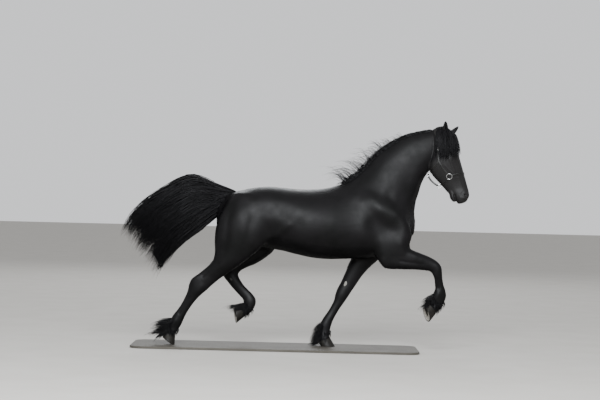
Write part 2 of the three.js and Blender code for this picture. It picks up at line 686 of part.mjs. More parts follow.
function maneSolid(random, sideAt) {
  const { count, long, lean, wide, thick, steps, core, wisps, from, to } = MANE;
  const pieces = [sheetOver(neck(core.thick).translate([0, 4, 0]), core.outline)];
  for (let i = 0; i < count; i++) {
    const t = from + ((to - from) * (i + 0.5)) / count;
    const root = crestCurve.getPointAt(t);
    const length = random(...long) * (0.75 + 0.25 * Math.sin(Math.PI * t));
    const angle = THREE.MathUtils.degToRad(lean + random(-7, 7));
    const swing = random(0, 2 * Math.PI);
    const lift = i % 2 ? 22 : 10;
    const points = [root.clone().add(vec(0, 6, -26)), root.clone().add(vec(-4, 26, -6))];
    for (let k = 1; k <= 5; k++) {
      const share = k / 5;
      const ripple = Math.sin(swing + 6.5 * share) * (0.3 + share);
      const x = root.x - Math.sin(angle) * length * share ** 1.3 + 9 * ripple;
      const z = root.z - Math.cos(angle) * length * share + 6;
      const clear = lift + 16 * share + 7 * ripple;
      points.push(vec(x, Math.max(sideAt(x, z), 20) + clear, z));
    }
    pieces.push(lock(points, vec(0, 1, 0.2).normalize(), wide * random(0.8, 1.15), thick, steps));
  }
  for (const [t, back, up] of wisps) {
    const root = crestCurve.getPointAt(t);
    const tip = root.clone().add(vec(back, random(-20, 14), up));
    const middle = mix(root, tip, 0.5).add(vec(0, 4, 20));
    const points = [root.clone().add(vec(10, 0, -24)), root.clone().add(vec(-14, 2, 4)), middle, tip];
    pieces.push(lock(points, vec(0.3, 1, 0.3).normalize(), 30, 14, 4));
  }
  return join(...pieces);
}

// A point over the head's surface at u, turned round from the forehead, raised by so much.
const skullRows = refine(SKULL.map((r) => [...r]), 20);
function overSkull(u, degrees, raise) {
  const i = Math.max(1, skullRows.findIndex((row) => row[0] >= u));
  const [low, high] = [skullRows[i - 1], skullRows[i]];
  const t = (u - low[0]) / (high[0] - low[0]);
  const [, face, jaw, half, wide, sharp] = low.map((value, k) => value + (high[k] - value) * t);
  const turn = THREE.MathUtils.degToRad(degrees);
  const along = Math.cos(turn);
  const v = wide + (along > 0 ? face - wide : wide - jaw) * along;
  const w = half * Math.sign(turn) * Math.abs(Math.sin(turn)) ** sharp;
  return inHead(u, v + raise * along, w + raise * Math.sin(turn));
}

function forelockSolid(random) {
  const { locks, wide, thick, steps } = FORELOCK;
  return join(...locks.map(([from, to, end], i) => {
    const swing = random(0, 6);
    const points = [overSkull(14, from, -22), overSkull(24, from, 10)];
    for (let k = 1; k <= 4; k++) {
      const share = k / 4;
      const ripple = Math.sin(swing + 6 * share);
      const turn = from + (to - from) * share + 3 * ripple;
      points.push(overSkull(24 + (end - 24) * share, turn, (i % 2 ? 8 : 14) + 4 * ripple));
    }
    const middle = (from + to) / 2;
    const facing = overSkull(150, middle, 10).sub(overSkull(150, middle, 0)).normalize();
    return lock(points, facing, wide * random(0.85, 1.15), thick, steps);
  }));
}

// Feather locks stream from the back of the fetlock and cannon.
function featherSolid({ feather: [[x, z], [dx, dz]], toe }, sign, random) {
  const { wide, thick, steps, levels, around } = FEATHER;
  const reach = vec(dx, 0, dz);
  const up = vec(-dz, 0, dx).normalize();
  if (up.z < 0) up.negate();
  const pieces = [];
  for (const level of levels) {
    for (const turn of around) {
      const root = vec(x, sign * toe[1] * 1.05, z).addScaledVector(up, 78 * (level - 0.3));
      root.y += 20 * turn;
      const long = random(0.82, 1.12) * (1 - 0.25 * level) * (1 - 0.12 * Math.abs(turn));
      const sag = random(-10, 10) - 14 * level;
      const tip = root.clone().addScaledVector(reach, long).add(vec(0, 14 * turn, sag));
      const middle = mix(root, tip, 0.5).add(vec(0, 9 * turn, 8));
      const start = root.clone().addScaledVector(reach, -26 / reach.length());
      const facing = vec(0, turn || 0.4, 0).addScaledVector(up, 0.6).normalize();
      pieces.push(lock([start, root, middle, tip], facing, wide * random(0.85, 1.2), thick, steps));
    }
  }
  return join(...pieces);
}

// Halter
const shellOf = (grow) => join(skull(grow), chin(grow), neck(grow));

// A strap is a stretch of a shell round the head, between two planes square to the side view.
function strap(shell, from, to, wide = STRAP.wide, overrun = wide / 3) {
  const du = to[0] - from[0];
  const dv = to[1] - from[1];
  const long = Math.hypot(du, dv) + 2 * overrun;
  const turn = THREE.MathUtils.radToDeg(Math.atan2(dv, du));
  const middle = [(from[0] + to[0]) / 2, (from[1] + to[1]) / 2, 0];
  return headBox(middle, [long, wide, 400], turn).intersect(shell);
}

function halterStraps() {
  const shell = shellOf(GAP + STRAP.thick).subtract(shellOf(GAP));
  const { nose, buckle, joint, throat, chin: chinRing, crown } = HALTER;
  return largest(join(
    strap(shell, nose, [nose[0], 140]),
    strap(shell, nose, chinRing),
    strap(shell, nose, joint),
    strap(shell, joint, buckle),
    strap(shell, buckle, crown, STRAP.wide, 40),
    strap(shell, joint, throat, STRAP.narrow, 16),
  ));
}

// Fittings lie on the straps: rings, and buckles that are a flat frame with a bar.
const overStraps = () => shellOf(2 * GAP + STRAP.thick);
function fitting([u, v, w], sign, turn, geometry) {
  const place = headFrame.clone()
    .multiply(new THREE.Matrix4().makeTranslation(u, v, sign * w))
    .multiply(new THREE.Matrix4().makeRotationZ(THREE.MathUtils.degToRad(turn)));
  return largest(mirrorless(geometry, place).subtract(overStraps()));
}
function ring({ radius, rod, sides }) {
  return new THREE.TorusGeometry(radius, rod, sides[1], sides[0]);
}
function buckle() {
  const { long, wide, bar } = BUCKLE;
  const frame = (x, y, depth) => solidOf(new THREE.BoxGeometry(x, y, depth));
  const hole = frame((long - 3 * bar) / 2, wide - 2 * bar, 60);
  const step = (long - bar) / 4;
  return geometryOf(
    frame(long, wide, 26).subtract(hole.translate([step, 0, 0])).subtract(hole.translate([-step, 0, 0])),
  );
}
function strapEnd() {
  const { from, to, wide, thick } = STRAP_END;
  const root = inHead(...from, 0);
  const tip = inHead(...to, 0);
  const middle = mix(root, tip, 0.5).add(vec(-6, 0, -4));
  const solid = lock([root, middle, tip], vec(0, 1, 0), wide, thick, 4);
  return solid.subtract(overStraps());
}

// Base
function baseSolid() {
  const { length, width, thick, corner, bevel } = BASE;
  const shape = new THREE.Shape();
  const [x, y] = [length / 2 - bevel, width / 2 - bevel];
  shape.moveTo(-x + corner, -y);
  shape.lineTo(x - corner, -y);
  shape.absarc(x - corner, -y + corner, corner, -Math.PI / 2, 0);
  shape.lineTo(x, y - corner);
  shape.absarc(x - corner, y - corner, corner, 0, Math.PI / 2);
  shape.lineTo(-x + corner, y);
  shape.absarc(-x + corner, y - corner, corner, Math.PI / 2, Math.PI);
  shape.lineTo(-x, -y + corner);
  shape.absarc(-x + corner, -y + corner, corner, Math.PI, 1.5 * Math.PI);
  const geometry = new THREE.ExtrudeGeometry(shape, {
    depth: thick - 2 * bevel, bevelThickness: bevel, bevelSize: bevel, bevelSegments: 1,
    curveSegments: 3,
  });
  return solidOf(geometry.translate(0, 0, bevel - SOLE_HEIGHT));
}

// Assembly
const horse = new THREE.Group();
horse.position.z = SOLE_HEIGHT;
function addNode(name, solid, finish) {
  const mesh = new THREE.Mesh(
    geometryOf(largest(solid)),
    new THREE.MeshStandardMaterial({ name: finish, ...COLOURS[finish] }),
  );
  mesh.name = name;
  horse.add(mesh);
}

// The space a leg takes up below its cut, on its own side of the horse.
function legZone(cut, sign, [xMin, xMax], slack) {
  const block = mirrorless(
    new THREE.BoxGeometry(xMax - xMin, 500, 1600),
    new THREE.Matrix4().makeTranslation((xMin + xMax) / 2, sign * (250 + GAP / 2), 400),
  );
  return side(block, cut, true, slack);
}

const limbs = Object.entries(LIMBS).map(([name, rows]) => {
  const sign = SIDES[name.split("_")[1]];
  const foot = FEET[name];
  return { name, sign, foot, rows, solid: limb(rows, foot, sign) };
});
const whole = join(trunk(), neck(), headSolid(), ...limbs.map(({ solid }) => solid));
const around = join(
  trunk(2 * GAP), ...limbs.map(({ rows, foot, sign }) => limb(rows, foot, sign, 2 * GAP)),
);

const random = randomFrom(SEED);
let body = whole;
for (const { name, sign, foot } of limbs) {
  const reach = name.startsWith("fore") ? [200, 1700] : [-1300, -40];
  const leg = whole.intersect(legZone(foot.top, sign, reach, -GAP / 2));
  body = body.subtract(legZone(foot.top, sign, reach, GAP / 2));
  const upper = side(leg, foot.mid, true, -GAP / 2);
  const lower = side(leg, foot.mid, false, -GAP / 2);
  const shod = join(largest(lower), featherSolid(foot, sign, random)).subtract(hoofSpace(foot, sign));
  addNode(`${name}_upper`, upper, "coat");
  addNode(`${name}_lower`, shod, "coat");
  addNode(`${name}_hoof`, hoof(foot, sign), "hoof");
}

const torso = side(body, CUTS.neck, true, -GAP / 2);
const front = side(body, CUTS.neck, false, -GAP / 2);
const torsoSpace = side(join(around, neck(2 * GAP)), CUTS.neck, true, GAP / 2);
const straps = halterStraps();
const strapSpace = shellOf(STRAP.thick + 2 * GAP);
const ears = Object.entries(EARS).map(([name, shape]) => ({
  name, solid: ear(shape).subtract(join(skull(GAP), neck(GAP))), space: ear(shape, 2),
}));
const earSpace = join(...ears.map(({ space }) => space));

addNode("torso", torso, "coat");
const maned = join(side(front, CUTS.head, true, -GAP / 2), maneSolid(random, sideOf(whole, 1)));
addNode(
  "neck",
  side(maned.subtract(torsoSpace), CUTS.head, true, -GAP / 2).subtract(earSpace),
  "coat",
);
const headOnly = side(front, CUTS.head, false, -GAP / 2);
const clearOfFace = join(
  earSpace, ...Object.values(SIDES).map((sign) => ball(EYE.ball + 13, eyeCentre(sign))),
);
addNode("head", join(headOnly, forelockSolid(random).subtract(clearOfFace)), "coat");
addNode("tail", tailSolid(random).subtract(around), "hair");
for (const { name, solid } of ears) addNode(`ear_${name}`, solid, "coat");
for (const [name, sign] of Object.entries(SIDES)) {
  addNode(`eye_${name}`, ball(EYE.ball, eyeCentre(sign)), "eye");
}
addNode("halter_straps", straps, "leather");
for (const [name, sign] of Object.entries(SIDES)) {
  addNode(`halter_ring_${name}`, fitting(RINGS.cheek.at, sign, 0, ring(RINGS.cheek)), "fitting");
  addNode(`halter_buckle_${name}`, fitting(BUCKLE.at, sign, BUCKLE.turn, buckle()), "fitting");
}
addNode("halter_chin_ring", fitting(RINGS.chin.at, 1, 0, ring(RINGS.chin)), "fitting");
addNode("halter_throat_strap_end", strapEnd(), "leather");
addNode("stand_base", baseSolid(), "base");

export default horse;
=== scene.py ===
"""A friesian horse at an extended trot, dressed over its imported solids: skin, coat, hair, halter."""

import json
import math

import bmesh
import bpy
import numpy as np
from bpy.props import FloatProperty, FloatVectorProperty
from mathutils import Matrix, Vector
from mathutils.bvhtree import BVHTree

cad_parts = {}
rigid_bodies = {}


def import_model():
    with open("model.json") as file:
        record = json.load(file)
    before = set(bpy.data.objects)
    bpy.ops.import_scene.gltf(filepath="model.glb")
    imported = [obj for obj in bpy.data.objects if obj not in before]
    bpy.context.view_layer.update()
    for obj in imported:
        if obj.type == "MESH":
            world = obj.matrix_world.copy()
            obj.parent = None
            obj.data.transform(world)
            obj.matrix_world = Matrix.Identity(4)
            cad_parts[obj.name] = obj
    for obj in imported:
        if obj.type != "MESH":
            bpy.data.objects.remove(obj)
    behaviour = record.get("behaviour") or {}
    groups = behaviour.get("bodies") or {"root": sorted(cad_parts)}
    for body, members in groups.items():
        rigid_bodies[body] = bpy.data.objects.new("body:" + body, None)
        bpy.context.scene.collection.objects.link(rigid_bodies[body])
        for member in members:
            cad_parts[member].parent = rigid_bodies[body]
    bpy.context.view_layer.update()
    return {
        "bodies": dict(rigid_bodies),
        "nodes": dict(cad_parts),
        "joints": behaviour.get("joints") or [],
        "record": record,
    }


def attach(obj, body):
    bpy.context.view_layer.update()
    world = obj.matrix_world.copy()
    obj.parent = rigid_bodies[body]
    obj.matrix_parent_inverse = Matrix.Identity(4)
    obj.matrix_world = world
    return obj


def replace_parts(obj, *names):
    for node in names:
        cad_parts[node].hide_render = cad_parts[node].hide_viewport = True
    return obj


bl_info = {
    "name": "Friesian horse",
    "version": (1, 0, 0),
    "blender": (4, 5, 0),
    "location": "View3D > Sidebar > Horse",
    "description": "Skin, coat, hair, hooves, eyes and halter of a trotting friesian on its base",
    "category": "Mesh",
}

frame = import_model()

# Rows and points below are in millimetres above the soles, as the solids are made; +X is the nose
MM = 0.001
SOLE_HEIGHT = 20.3
SIDES = {"right": -1, "left": 1}
SEED = 1879
TAU = 2 * math.pi
# How deep the skin lies under the outline, in mm, and how far from a junction it is rounded, in m
COAT_DEPTH = 2.5
BLEND_REACH = 0.075
# Quads of the rough body and of the skin, in m, and the triangles the skin is brought down to
BODY_VOXEL = 0.011
SKIN_VOXEL = 0.0048
SKIN_TRIANGLES = 176000
# Width of a lock's or tuft's patch on the unwrap
PATCH = 0.003
HOOF_SIDES = 44

# Trunk: x, top, bottom, half width, height of the widest part, sharpness of back and underside
TRUNK = [
    [1178, 1215, 1000, 70, 1105, 1, 1],
    [1140, 1330, 930, 135, 1100, 1, 1],
    [1060, 1400, 868, 190, 1085, 1, 1],
    [950, 1440, 822, 222, 1065, 1, 1],
    [820, 1470, 795, 236, 1050, 1.1, 0.95],
    [690, 1488, 784, 243, 1040, 1.5, 0.9],
    [580, 1452, 778, 256, 1035, 1.5, 0.9],
    [450, 1404, 773, 276, 1035, 1.2, 0.9],
    [320, 1384, 781, 291, 1045, 1.02, 0.9],
    [180, 1381, 806, 296, 1060, 0.92, 0.92],
    [40, 1391, 838, 284, 1090, 0.86, 0.95],
    [-80, 1398, 852, 262, 1130, 0.82, 1],
    [-200, 1388, 862, 246, 1150, 0.84, 1],
    [-320, 1362, 880, 222, 1150, 0.9, 1],
    [-420, 1330, 905, 176, 1140, 0.95, 1],
    [-495, 1255, 960, 105, 1120, 1, 1],
]
# Neck: crest x and z, throat x and z, half width, widest part from throat to crest, sharpness
NECK = [
    [560, 1430, 1100, 935, 188, 0.45, 1.3, 1],
    [725, 1553, 1188, 1130, 165, 0.45, 1.4, 1],
    [845, 1688, 1202, 1275, 132, 0.43, 1.4, 0.95],
    [974, 1787, 1230, 1374, 108, 0.42, 1.3, 0.95],
    [1103, 1864, 1251, 1452, 95, 0.42, 1.25, 0.95],
    [1234, 1902, 1288, 1528, 88, 0.42, 1.2, 0.95],
    [1335, 1922, 1335, 1590, 78, 0.45, 1.1, 1],
]
# Head, in its own frame: u from the poll to the lips, v out through the forehead, w to the left
HEAD = {"poll": (1402, 0, 1950), "nod": 15.7, "yaw": -8, "tilt": -4}
SKULL = [
    [6, 40, -72, 46, -15, 0.8, 1],
    [58, 82, -115, 70, 5, 0.7, 1],
    [120, 100, -140, 90, 25, 0.6, 1],
    [185, 104, -152, 103, 38, 0.55, 0.95],
    [245, 102, -164, 110, 45, 0.55, 0.8],
    [300, 101, -177, 106, 25, 0.6, 0.65],
    [350, 102, -181, 98, 0, 0.65, 0.6],
    [405, 103, -164, 87, 0, 0.7, 0.65],
    [460, 104, -134, 73, 5, 0.75, 0.8],
    [520, 105, -103, 60, 12, 0.8, 0.9],
    [572, 106, -77, 54, 20, 0.8, 0.95],
    [612, 106, -46, 58, 32, 0.72, 0.9],
    [650, 98, -27, 59, 32, 0.72, 0.9],
    [680, 72, -20, 50, 24, 0.85, 0.9],
]
CHIN = [
    [548, -10, -80, 44, -40, 0.8, 0.9],
    [590, -12, -70, 47, -40, 0.8, 0.9],
    [628, -12, -70, 46, -40, 0.8, 0.9],
    [658, -14, -56, 38, -36, 0.9, 0.9],
]
EYE = {"u": 252, "v": 50, "w": 88, "ball": 21, "lid": 27, "open": (21, 12.5), "lean": 24}
NOSTRIL = {"u": 638, "v": 70, "w": 56, "long": 27, "high": 13, "deep": 17, "lean": 35}
EAR = {"wide": 31, "deep": 21, "wall": 5}
EARS = {
    "right": {"base": (66, 34, -56), "tip": (-36, 62, -66), "open": (0.25, 0.75, -0.6)},
    "left": {"base": (92, 54, 56), "tip": (20, 158, 74), "open": (0.8, 0.2, 0.55)},
}
# Limbs: front x and z, back x and z, distance from the middle, width, down to the coronet
LIMBS = {
    "foreleg_right": [
        [775, 1412, 640, 1388, 80, 84],
        [905, 1330, 650, 1284, 114, 130],
        [1035, 1238, 700, 1165, 138, 168],
        [1128, 1130, 755, 1040, 146, 184],
        [1168, 1010, 810, 915, 150, 186],
        [1150, 922, 872, 790, 150, 170],
        [1160, 886, 935, 714, 150, 148],
        [1190, 871, 1060, 704, 150, 128],
        [1273, 841, 1205, 704, 149, 108],
        [1335, 815, 1288, 699, 147, 92],
        [1394, 780, 1336, 686, 145, 90],
        [1428, 738, 1356, 660, 143, 90],
        [1438, 686, 1370, 624, 140, 78],
        [1445, 625, 1375, 580, 136, 60],
        [1456, 575, 1378, 544, 132, 54],
        [1471, 535, 1370, 515, 128, 66],
        [1481, 482, 1352, 476, 124, 74],
        [1466, 425, 1352, 436, 121, 68],
        [1438, 376, 1342, 405, 118, 72],
    ],
    "foreleg_left": [
        [765, 1412, 630, 1388, 80, 84],
        [890, 1330, 640, 1284, 114, 130],
        [1012, 1238, 678, 1165, 138, 168],
        [1098, 1130, 704, 1040, 146, 184],
        [1116, 1010, 706, 915, 148, 184],
        [1010, 872, 676, 830, 148, 168],
        [868, 748, 650, 770, 146, 142],
        [812, 692, 626, 712, 144, 124],
        [748, 614, 596, 636, 140, 104],
        [704, 545, 566, 566, 136, 92],
        [664, 484, 536, 508, 131, 92],
        [636, 438, 520, 460, 126, 86],
        [600, 384, 506, 400, 120, 66],
        [566, 334, 482, 350, 114, 56],
        [534, 280, 450, 296, 107, 56],
        [508, 228, 412, 240, 101, 68],
        [492, 180, 388, 186, 97, 74],
        [481, 134, 384, 138, 94, 70],
        [480, 108, 378, 92, 92, 80],
    ],
    "hindleg_right": [
        [-90, 1280, -400, 1325, 104, 170],
        [-30, 1140, -490, 1170, 134, 236],
        [-28, 1020, -532, 1050, 145, 252],
        [-70, 925, -544, 925, 149, 236],
        [-150, 848, -540, 825, 149, 204],
        [-246, 764, -552, 752, 147, 172],
        [-345, 686, -592, 700, 143, 138],
        [-428, 626, -632, 664, 138, 112],
        [-500, 575, -682, 622, 133, 96],
        [-556, 526, -738, 576, 130, 94],
        [-603, 480, -760, 530, 128, 94],
        [-645, 443, -768, 486, 126, 86],
        [-684, 403, -784, 438, 123, 70],
        [-728, 346, -812, 378, 117, 60],
        [-768, 282, -850, 315, 110, 58],
        [-798, 220, -898, 250, 104, 70],
        [-814, 180, -920, 205, 100, 76],
        [-838, 138, -930, 158, 98, 70],
        [-856, 112, -942, 118, 97, 76],
    ],
    "hindleg_left": [
        [-90, 1280, -400, 1325, 104, 170],
        [-20, 1140, -484, 1170, 134, 236],
        [4, 1020, -500, 1045, 145, 252],
        [8, 925, -462, 925, 149, 236],
        [-30, 835, -396, 850, 148, 204],
        [-104, 768, -360, 812, 144, 168],
        [-186, 714, -380, 778, 140, 138],
        [-262, 676, -426, 748, 136, 112],
        [-318, 646, -478, 706, 132, 96],
        [-340, 618, -494, 656, 129, 94],
        [-334, 590, -474, 594, 126, 92],
        [-318, 562, -432, 540, 123, 84],
        [-290, 522, -384, 484, 119, 68],
        [-250, 482, -326, 424, 115, 60],
        [-214, 448, -296, 392, 111, 64],
        [-182, 404, -290, 366, 108, 74],
        [-178, 362, -284, 352, 107, 74],
        [-194, 316, -284, 340, 106, 70],
        [-224, 276, -300, 338, 105, 78],
    ],
}
# Feet: the toe of the hoof, how far it is turned toe-down and twisted outward, the feather's reach
FEET = {
    "foreleg_right": {"toe": (1328, 116, 253), "turn": -73, "twist": 20, "feather": (-104, -60)},
    "foreleg_left": {"toe": (528, 90, 0), "turn": 0, "twist": 0, "feather": (-78, -84)},
    "hindleg_right": {"toe": (-876, 96, -9), "turn": -35, "twist": 0, "feather": (-186, -28)},
    "hindleg_left": {"toe": (-350, 104, 185), "turn": -82, "twist": 12, "feather": (-160, -40)},
}
# Hoof in its own frame, the sole at height 0: front x and z, back x and z, half width
HOOF = [
    [75, 0, -52, 0, 62],
    [72, 6, -53, 4, 62],
    [52, 40, -63, 20, 56],
    [28, 78, -74, 34, 49],
]
TAIL = {
    "upper": [
        (-425, 1324), (-600, 1392), (-775, 1455), (-950, 1369), (-1150, 1250), (-1310, 1084),
        (-1378, 962),
    ],
    "lower": [
        (-450, 1285), (-525, 1192), (-625, 1092), (-735, 996), (-850, 902), (-950, 776),
        (-1034, 640),
    ],
    "spread": [26, 62, 96, 122, 128, 110, 78],
}


# Numbers and meshes
def hermite_rows(rows, pitch):
    """Rows between the given ones, on a smooth curve through them."""
    rows = np.array(rows, float)
    middle = (rows[:, :3] + rows[:, 3:6]) / 2
    spans = np.maximum(np.linalg.norm(np.diff(middle, axis=0), axis=1), 10)
    knots = np.concatenate([[0], np.cumsum(spans)])
    low = np.maximum(np.arange(len(rows)) - 1, 0)
    high = np.minimum(np.arange(len(rows)) + 1, len(rows) - 1)
    slope = (rows[high] - rows[low]) / (knots[high] - knots[low])[:, None]
    out = []
    for i, span in enumerate(spans):
        t = np.arange(max(1, round(span / pitch)))[:, None] / max(1, round(span / pitch))
        out.append(
            rows[i] * (2 * t**3 - 3 * t**2 + 1)
            + rows[i + 1] * (3 * t**2 - 2 * t**3)
            + slope[i] * span * (t**3 - 2 * t**2 + t)
            + slope[i + 1] * span * (t**3 - t**2)
        )
    return np.concatenate([*out, rows[-1:]])


def unit(vectors):
    """Vectors brought to length 1."""
    return vectors / np.linalg.norm(vectors, axis=-1, keepdims=True)


def catmull(points, count):
    """Points along a smooth curve through the given ones."""
    points = np.asarray(points, float)
    padded = np.concatenate([[2 * points[0] - points[1]], points, [2 * points[-1] - points[-2]]])
    t = np.linspace(0, len(points) - 1, count)
    i = np.minimum(t.astype(int), len(points) - 2)
    f = (t - i)[:, None]
    a, b, c, d = (padded[i + k] for k in range(4))
    return 0.5 * (
        2 * b + (c - a) * f + (2 * a - 5 * b + 4 * c - d) * f**2 + (3 * b - a - 3 * c + d) * f**3
    )


def section(rows, count):
    """Rings of points of the rows: a sharp or round oval between two edge points."""
    turn = TAU * np.arange(count) / count
    along, out = np.cos(turn), np.sin(turn)
    a, b = rows[:, None, 0:3], rows[:, None, 3:6]
    middle = b + (a - b) * rows[:, None, 7:8]
    edge = np.where(along[None, :, None] > 0, a, b)
    points = middle + (edge - middle) * np.abs(along)[None, :, None]
    sharp = np.where(along[None, :] > 0, rows[:, 8:9], rows[:, 9:10])
    points[:, :, 1] += rows[:, 6:7] * np.sign(out)[None] * np.abs(out)[None] ** sharp
    return points


def skinned(rings, first, last):
    """Vertices and faces of rings joined into one closed shell with a tip at either end."""
    steps, count = rings.shape[:2]
    points = np.concatenate([[first], rings.reshape(-1, 3), [last]])
    i = np.arange(count)
    j = (i + 1) % count
    faces = [[0, 1 + int(b), 1 + int(a)] for a, b in zip(i, j)]
    base = 1 + np.arange(steps - 1)[:, None] * count
    quads = np.stack([base + i, base + j, base + j + count, base + i + count], -1)
    faces += quads.reshape(-1, 4).tolist()
    top = 1 + (steps - 1) * count
    faces += [[len(points) - 1, top + int(a), top + int(b)] for a, b in zip(i, j)]
    return points, faces


def loft(rows, count, pitch, domes, grow):
    """A closed shell through rows, each end flat (0) or domed by that much."""
    rows = hermite_rows(rows, pitch)
    out = unit(rows[:, 0:3] - rows[:, 3:6])
    rows[:, 0:3] += out * grow
    rows[:, 3:6] -= out * grow
    rows[:, 6] += grow
    rings = section(rows, count)

    def dome(ring, inner, height):
        centre = ring.mean(0)
        lift = unit(centre - inner.mean(0))
        turns = np.radians([15, 30, 45, 60, 75])
        layers = [
            centre + (ring - centre) * math.cos(t) + lift * math.sin(t) * height for t in turns
        ]
        return np.array(layers), centre + lift * height

    parts, tips = [rings], [rings[0].mean(0), rings[-1].mean(0)]
    if domes[0]:
        layers, tips[0] = dome(rings[0], rings[1], domes[0] + grow)
        parts.insert(0, layers[::-1])
    if domes[1]:
        layers, tips[1] = dome(rings[-1], rings[-2], domes[1] + grow)
        parts.append(layers)
    return skinned(np.concatenate(parts), *tips)


def lifted(points):
    """Points in millimetres above the soles, as metres in the row frame."""
    return (np.asarray(points, float) + (0, 0, SOLE_HEIGHT)) * MM


def lowered(places):
    """Metres in the row frame as millimetres above the soles."""
    return np.asarray(places, float) / MM - (0, 0, SOLE_HEIGHT)


def merged(shells):
    """The points and the faces of several shells as one."""
    faces, start = [], 0
    for points, polygons in shells:
        faces += [[start + k for k in f] for f in polygons]
        start += len(points)
    return np.concatenate([points for points, _ in shells]), faces


def linked(name, data):
    """A new object of the scene."""
    obj = bpy.data.objects.new(name, data)
    bpy.context.scene.collection.objects.link(obj)
    return obj


def mesh_object(name, shells):
    """One mesh object of closed shells given in millimetres, faces outward."""
    points, faces = merged(shells)
    mesh = bpy.data.meshes.new(name)
    mesh.from_pydata(lifted(points), [], faces)
    mesh.validate()
    return outward(linked(name, mesh))


def outward(obj):
    """Turns the faces of closed shells outward."""
    bm = bmesh.new()
    bm.from_mesh(obj.data)
    bmesh.ops.recalc_face_normals(bm, faces=bm.faces)
    bm.to_mesh(obj.data)
    bm.free()
    return obj


def applied(obj):
    """Bakes the modifiers of an object into its mesh."""
    bpy.context.view_layer.update()
    graph = bpy.context.evaluated_depsgraph_get()
    mesh = bpy.data.meshes.new_from_object(obj.evaluated_get(graph))
    obj.modifiers.clear()
    old, obj.data = obj.data, mesh
    bpy.data.meshes.remove(old)
    return obj


def remeshed(obj, voxel):
    """One closed surface round all shells of an object, in quads of that size."""
    modifier = obj.modifiers.new("union", "REMESH")
    modifier.mode = "VOXEL"
    modifier.voxel_size = voxel
    return applied(obj)


def removed(*objs):
    for obj in objs:
        mesh = obj.data
        bpy.data.objects.remove(obj)
        bpy.data.meshes.remove(mesh)


def smooth(obj, weights, rounds):
    """Relaxes the vertices of a mesh by their weights."""
    group = obj.vertex_groups.new(name="relax")
    levels = np.round(np.clip(weights, 0, 1) * 20).astype(int)
    for level in range(1, 21):
        group.add(np.nonzero(levels == level)[0].tolist(), level / 20, "REPLACE")
    modifier = obj.modifiers.new("relax", "SMOOTH")
    modifier.factor = 0.5
    modifier.iterations = rounds
    modifier.vertex_group = "relax"
    applied(obj)
    obj.vertex_groups.clear()
    return obj


def coords(obj):
    co = np.empty(len(obj.data.vertices) * 3, np.float32)
    obj.data.vertices.foreach_get("co", co)
    return co.reshape(-1, 3).astype(float)


def set_coords(obj, co):
    obj.data.vertices.foreach_set("co", np.asarray(co, np.float32).ravel())
    obj.data.update()


def normals(obj):
    no = np.empty(len(obj.data.vertices) * 3, np.float32)
    obj.data.vertex_normals.foreach_get("vector", no)
    return no.reshape(-1, 3).astype(float)


def shade_smooth(obj, crease=None):
    """Smooth shading, with edges sharper than the crease, in degrees, left sharp."""
    obj.data.polygons.foreach_set("use_smooth", np.ones(len(obj.data.polygons), bool))
    if crease:
        obj.data.set_sharp_from_angle(angle=math.radians(crease))


def set_finishes(obj, index):
    """Which of its materials each face has."""
    obj.data.polygons.foreach_set("material_index", np.asarray(index, np.int32))


# The head's frame
HEAD_FRAME = (
    Matrix.Translation(HEAD["poll"])
    @ Matrix.Rotation(math.radians(HEAD["yaw"]), 4, "Z")
    @ Matrix.Rotation(math.radians(HEAD["tilt"]), 4, "X")
    @ Matrix.Rotation(math.radians(-HEAD["nod"]), 4, "Y")
    @ Matrix(((0, 1, 0, 0), (0, 0, 1, 0), (-1, 0, 0, 0), (0, 0, 0, 1)))
)
HEAD_TURN = np.array(HEAD_FRAME.to_3x3())
HEAD_ORIGIN = np.array(HEAD_FRAME.translation)


def in_head(points):
    """Head coordinates u, v, w as millimetres above the soles."""
    return np.asarray(points, float) @ HEAD_TURN.T + HEAD_ORIGIN


def from_head(points):
    return (np.asarray(points, float) - HEAD_ORIGIN) @ HEAD_TURN


def eye_centre(sign):
    return in_head([[EYE["u"], EYE["v"], sign * EYE["w"]]])[0]


# The body's shells
def trunk_rows():
    return [
        [x, 0, top, x, 0, low, half, (mid - low) / (top - low), back, under]
        for x, top, low, half, mid, back, under in TRUNK
    ]


def neck_rows():
    return [
        [cx, 0, cz, tx, 0, tz, half, widest, crest, throat]
        for cx, cz, tx, tz, half, widest, crest, throat in NECK
    ]


def head_loft(rows, domes, grow):
    level = [
        [face, 0, -u, jaw, 0, -u, half, (wide - jaw) / (face - jaw), sharp_face, sharp_jaw]
        for u, face, jaw, half, wide, sharp_face, sharp_jaw in rows
    ]
    points, faces = loft(level, 48, 8, domes, grow)
    return in_head(points[:, [2, 0, 1]] * (-1, 1, 1)), faces


def hoof_matrix(foot, sign):
    frame = Matrix.Rotation(math.radians(-foot["turn"]), 4, "Y")
    point = frame @ Vector((HOOF[0][0], 0, HOOF[0][1]))
    x, y, z = foot["toe"]
    return Matrix.Translation(Vector((x, sign * y, z)) - point) @ frame


def hoof_row(foot, sign, row):
    frame = hoof_matrix(foot, sign)
    fx, fz, bx, bz, half = row
    a = frame @ Vector((fx, 0, fz))
    b = frame @ Vector((bx, 0, bz))
    return [*a, *b, half, 0.5, 0.85, 0.75]


def limb_rows(name):
    sign = SIDES[name.split("_")[1]]
    rows = [
        [fx, sign * y, fz, bx, sign * y, bz, wide / 2, 0.5, 0.85, 0.9]
        for fx, fz, bx, bz, y, wide in LIMBS[name]
    ]
    coronet = hoof_row(FEET[name], sign, HOOF[-1])
    coronet[6] -= 2
    return [*rows, coronet]


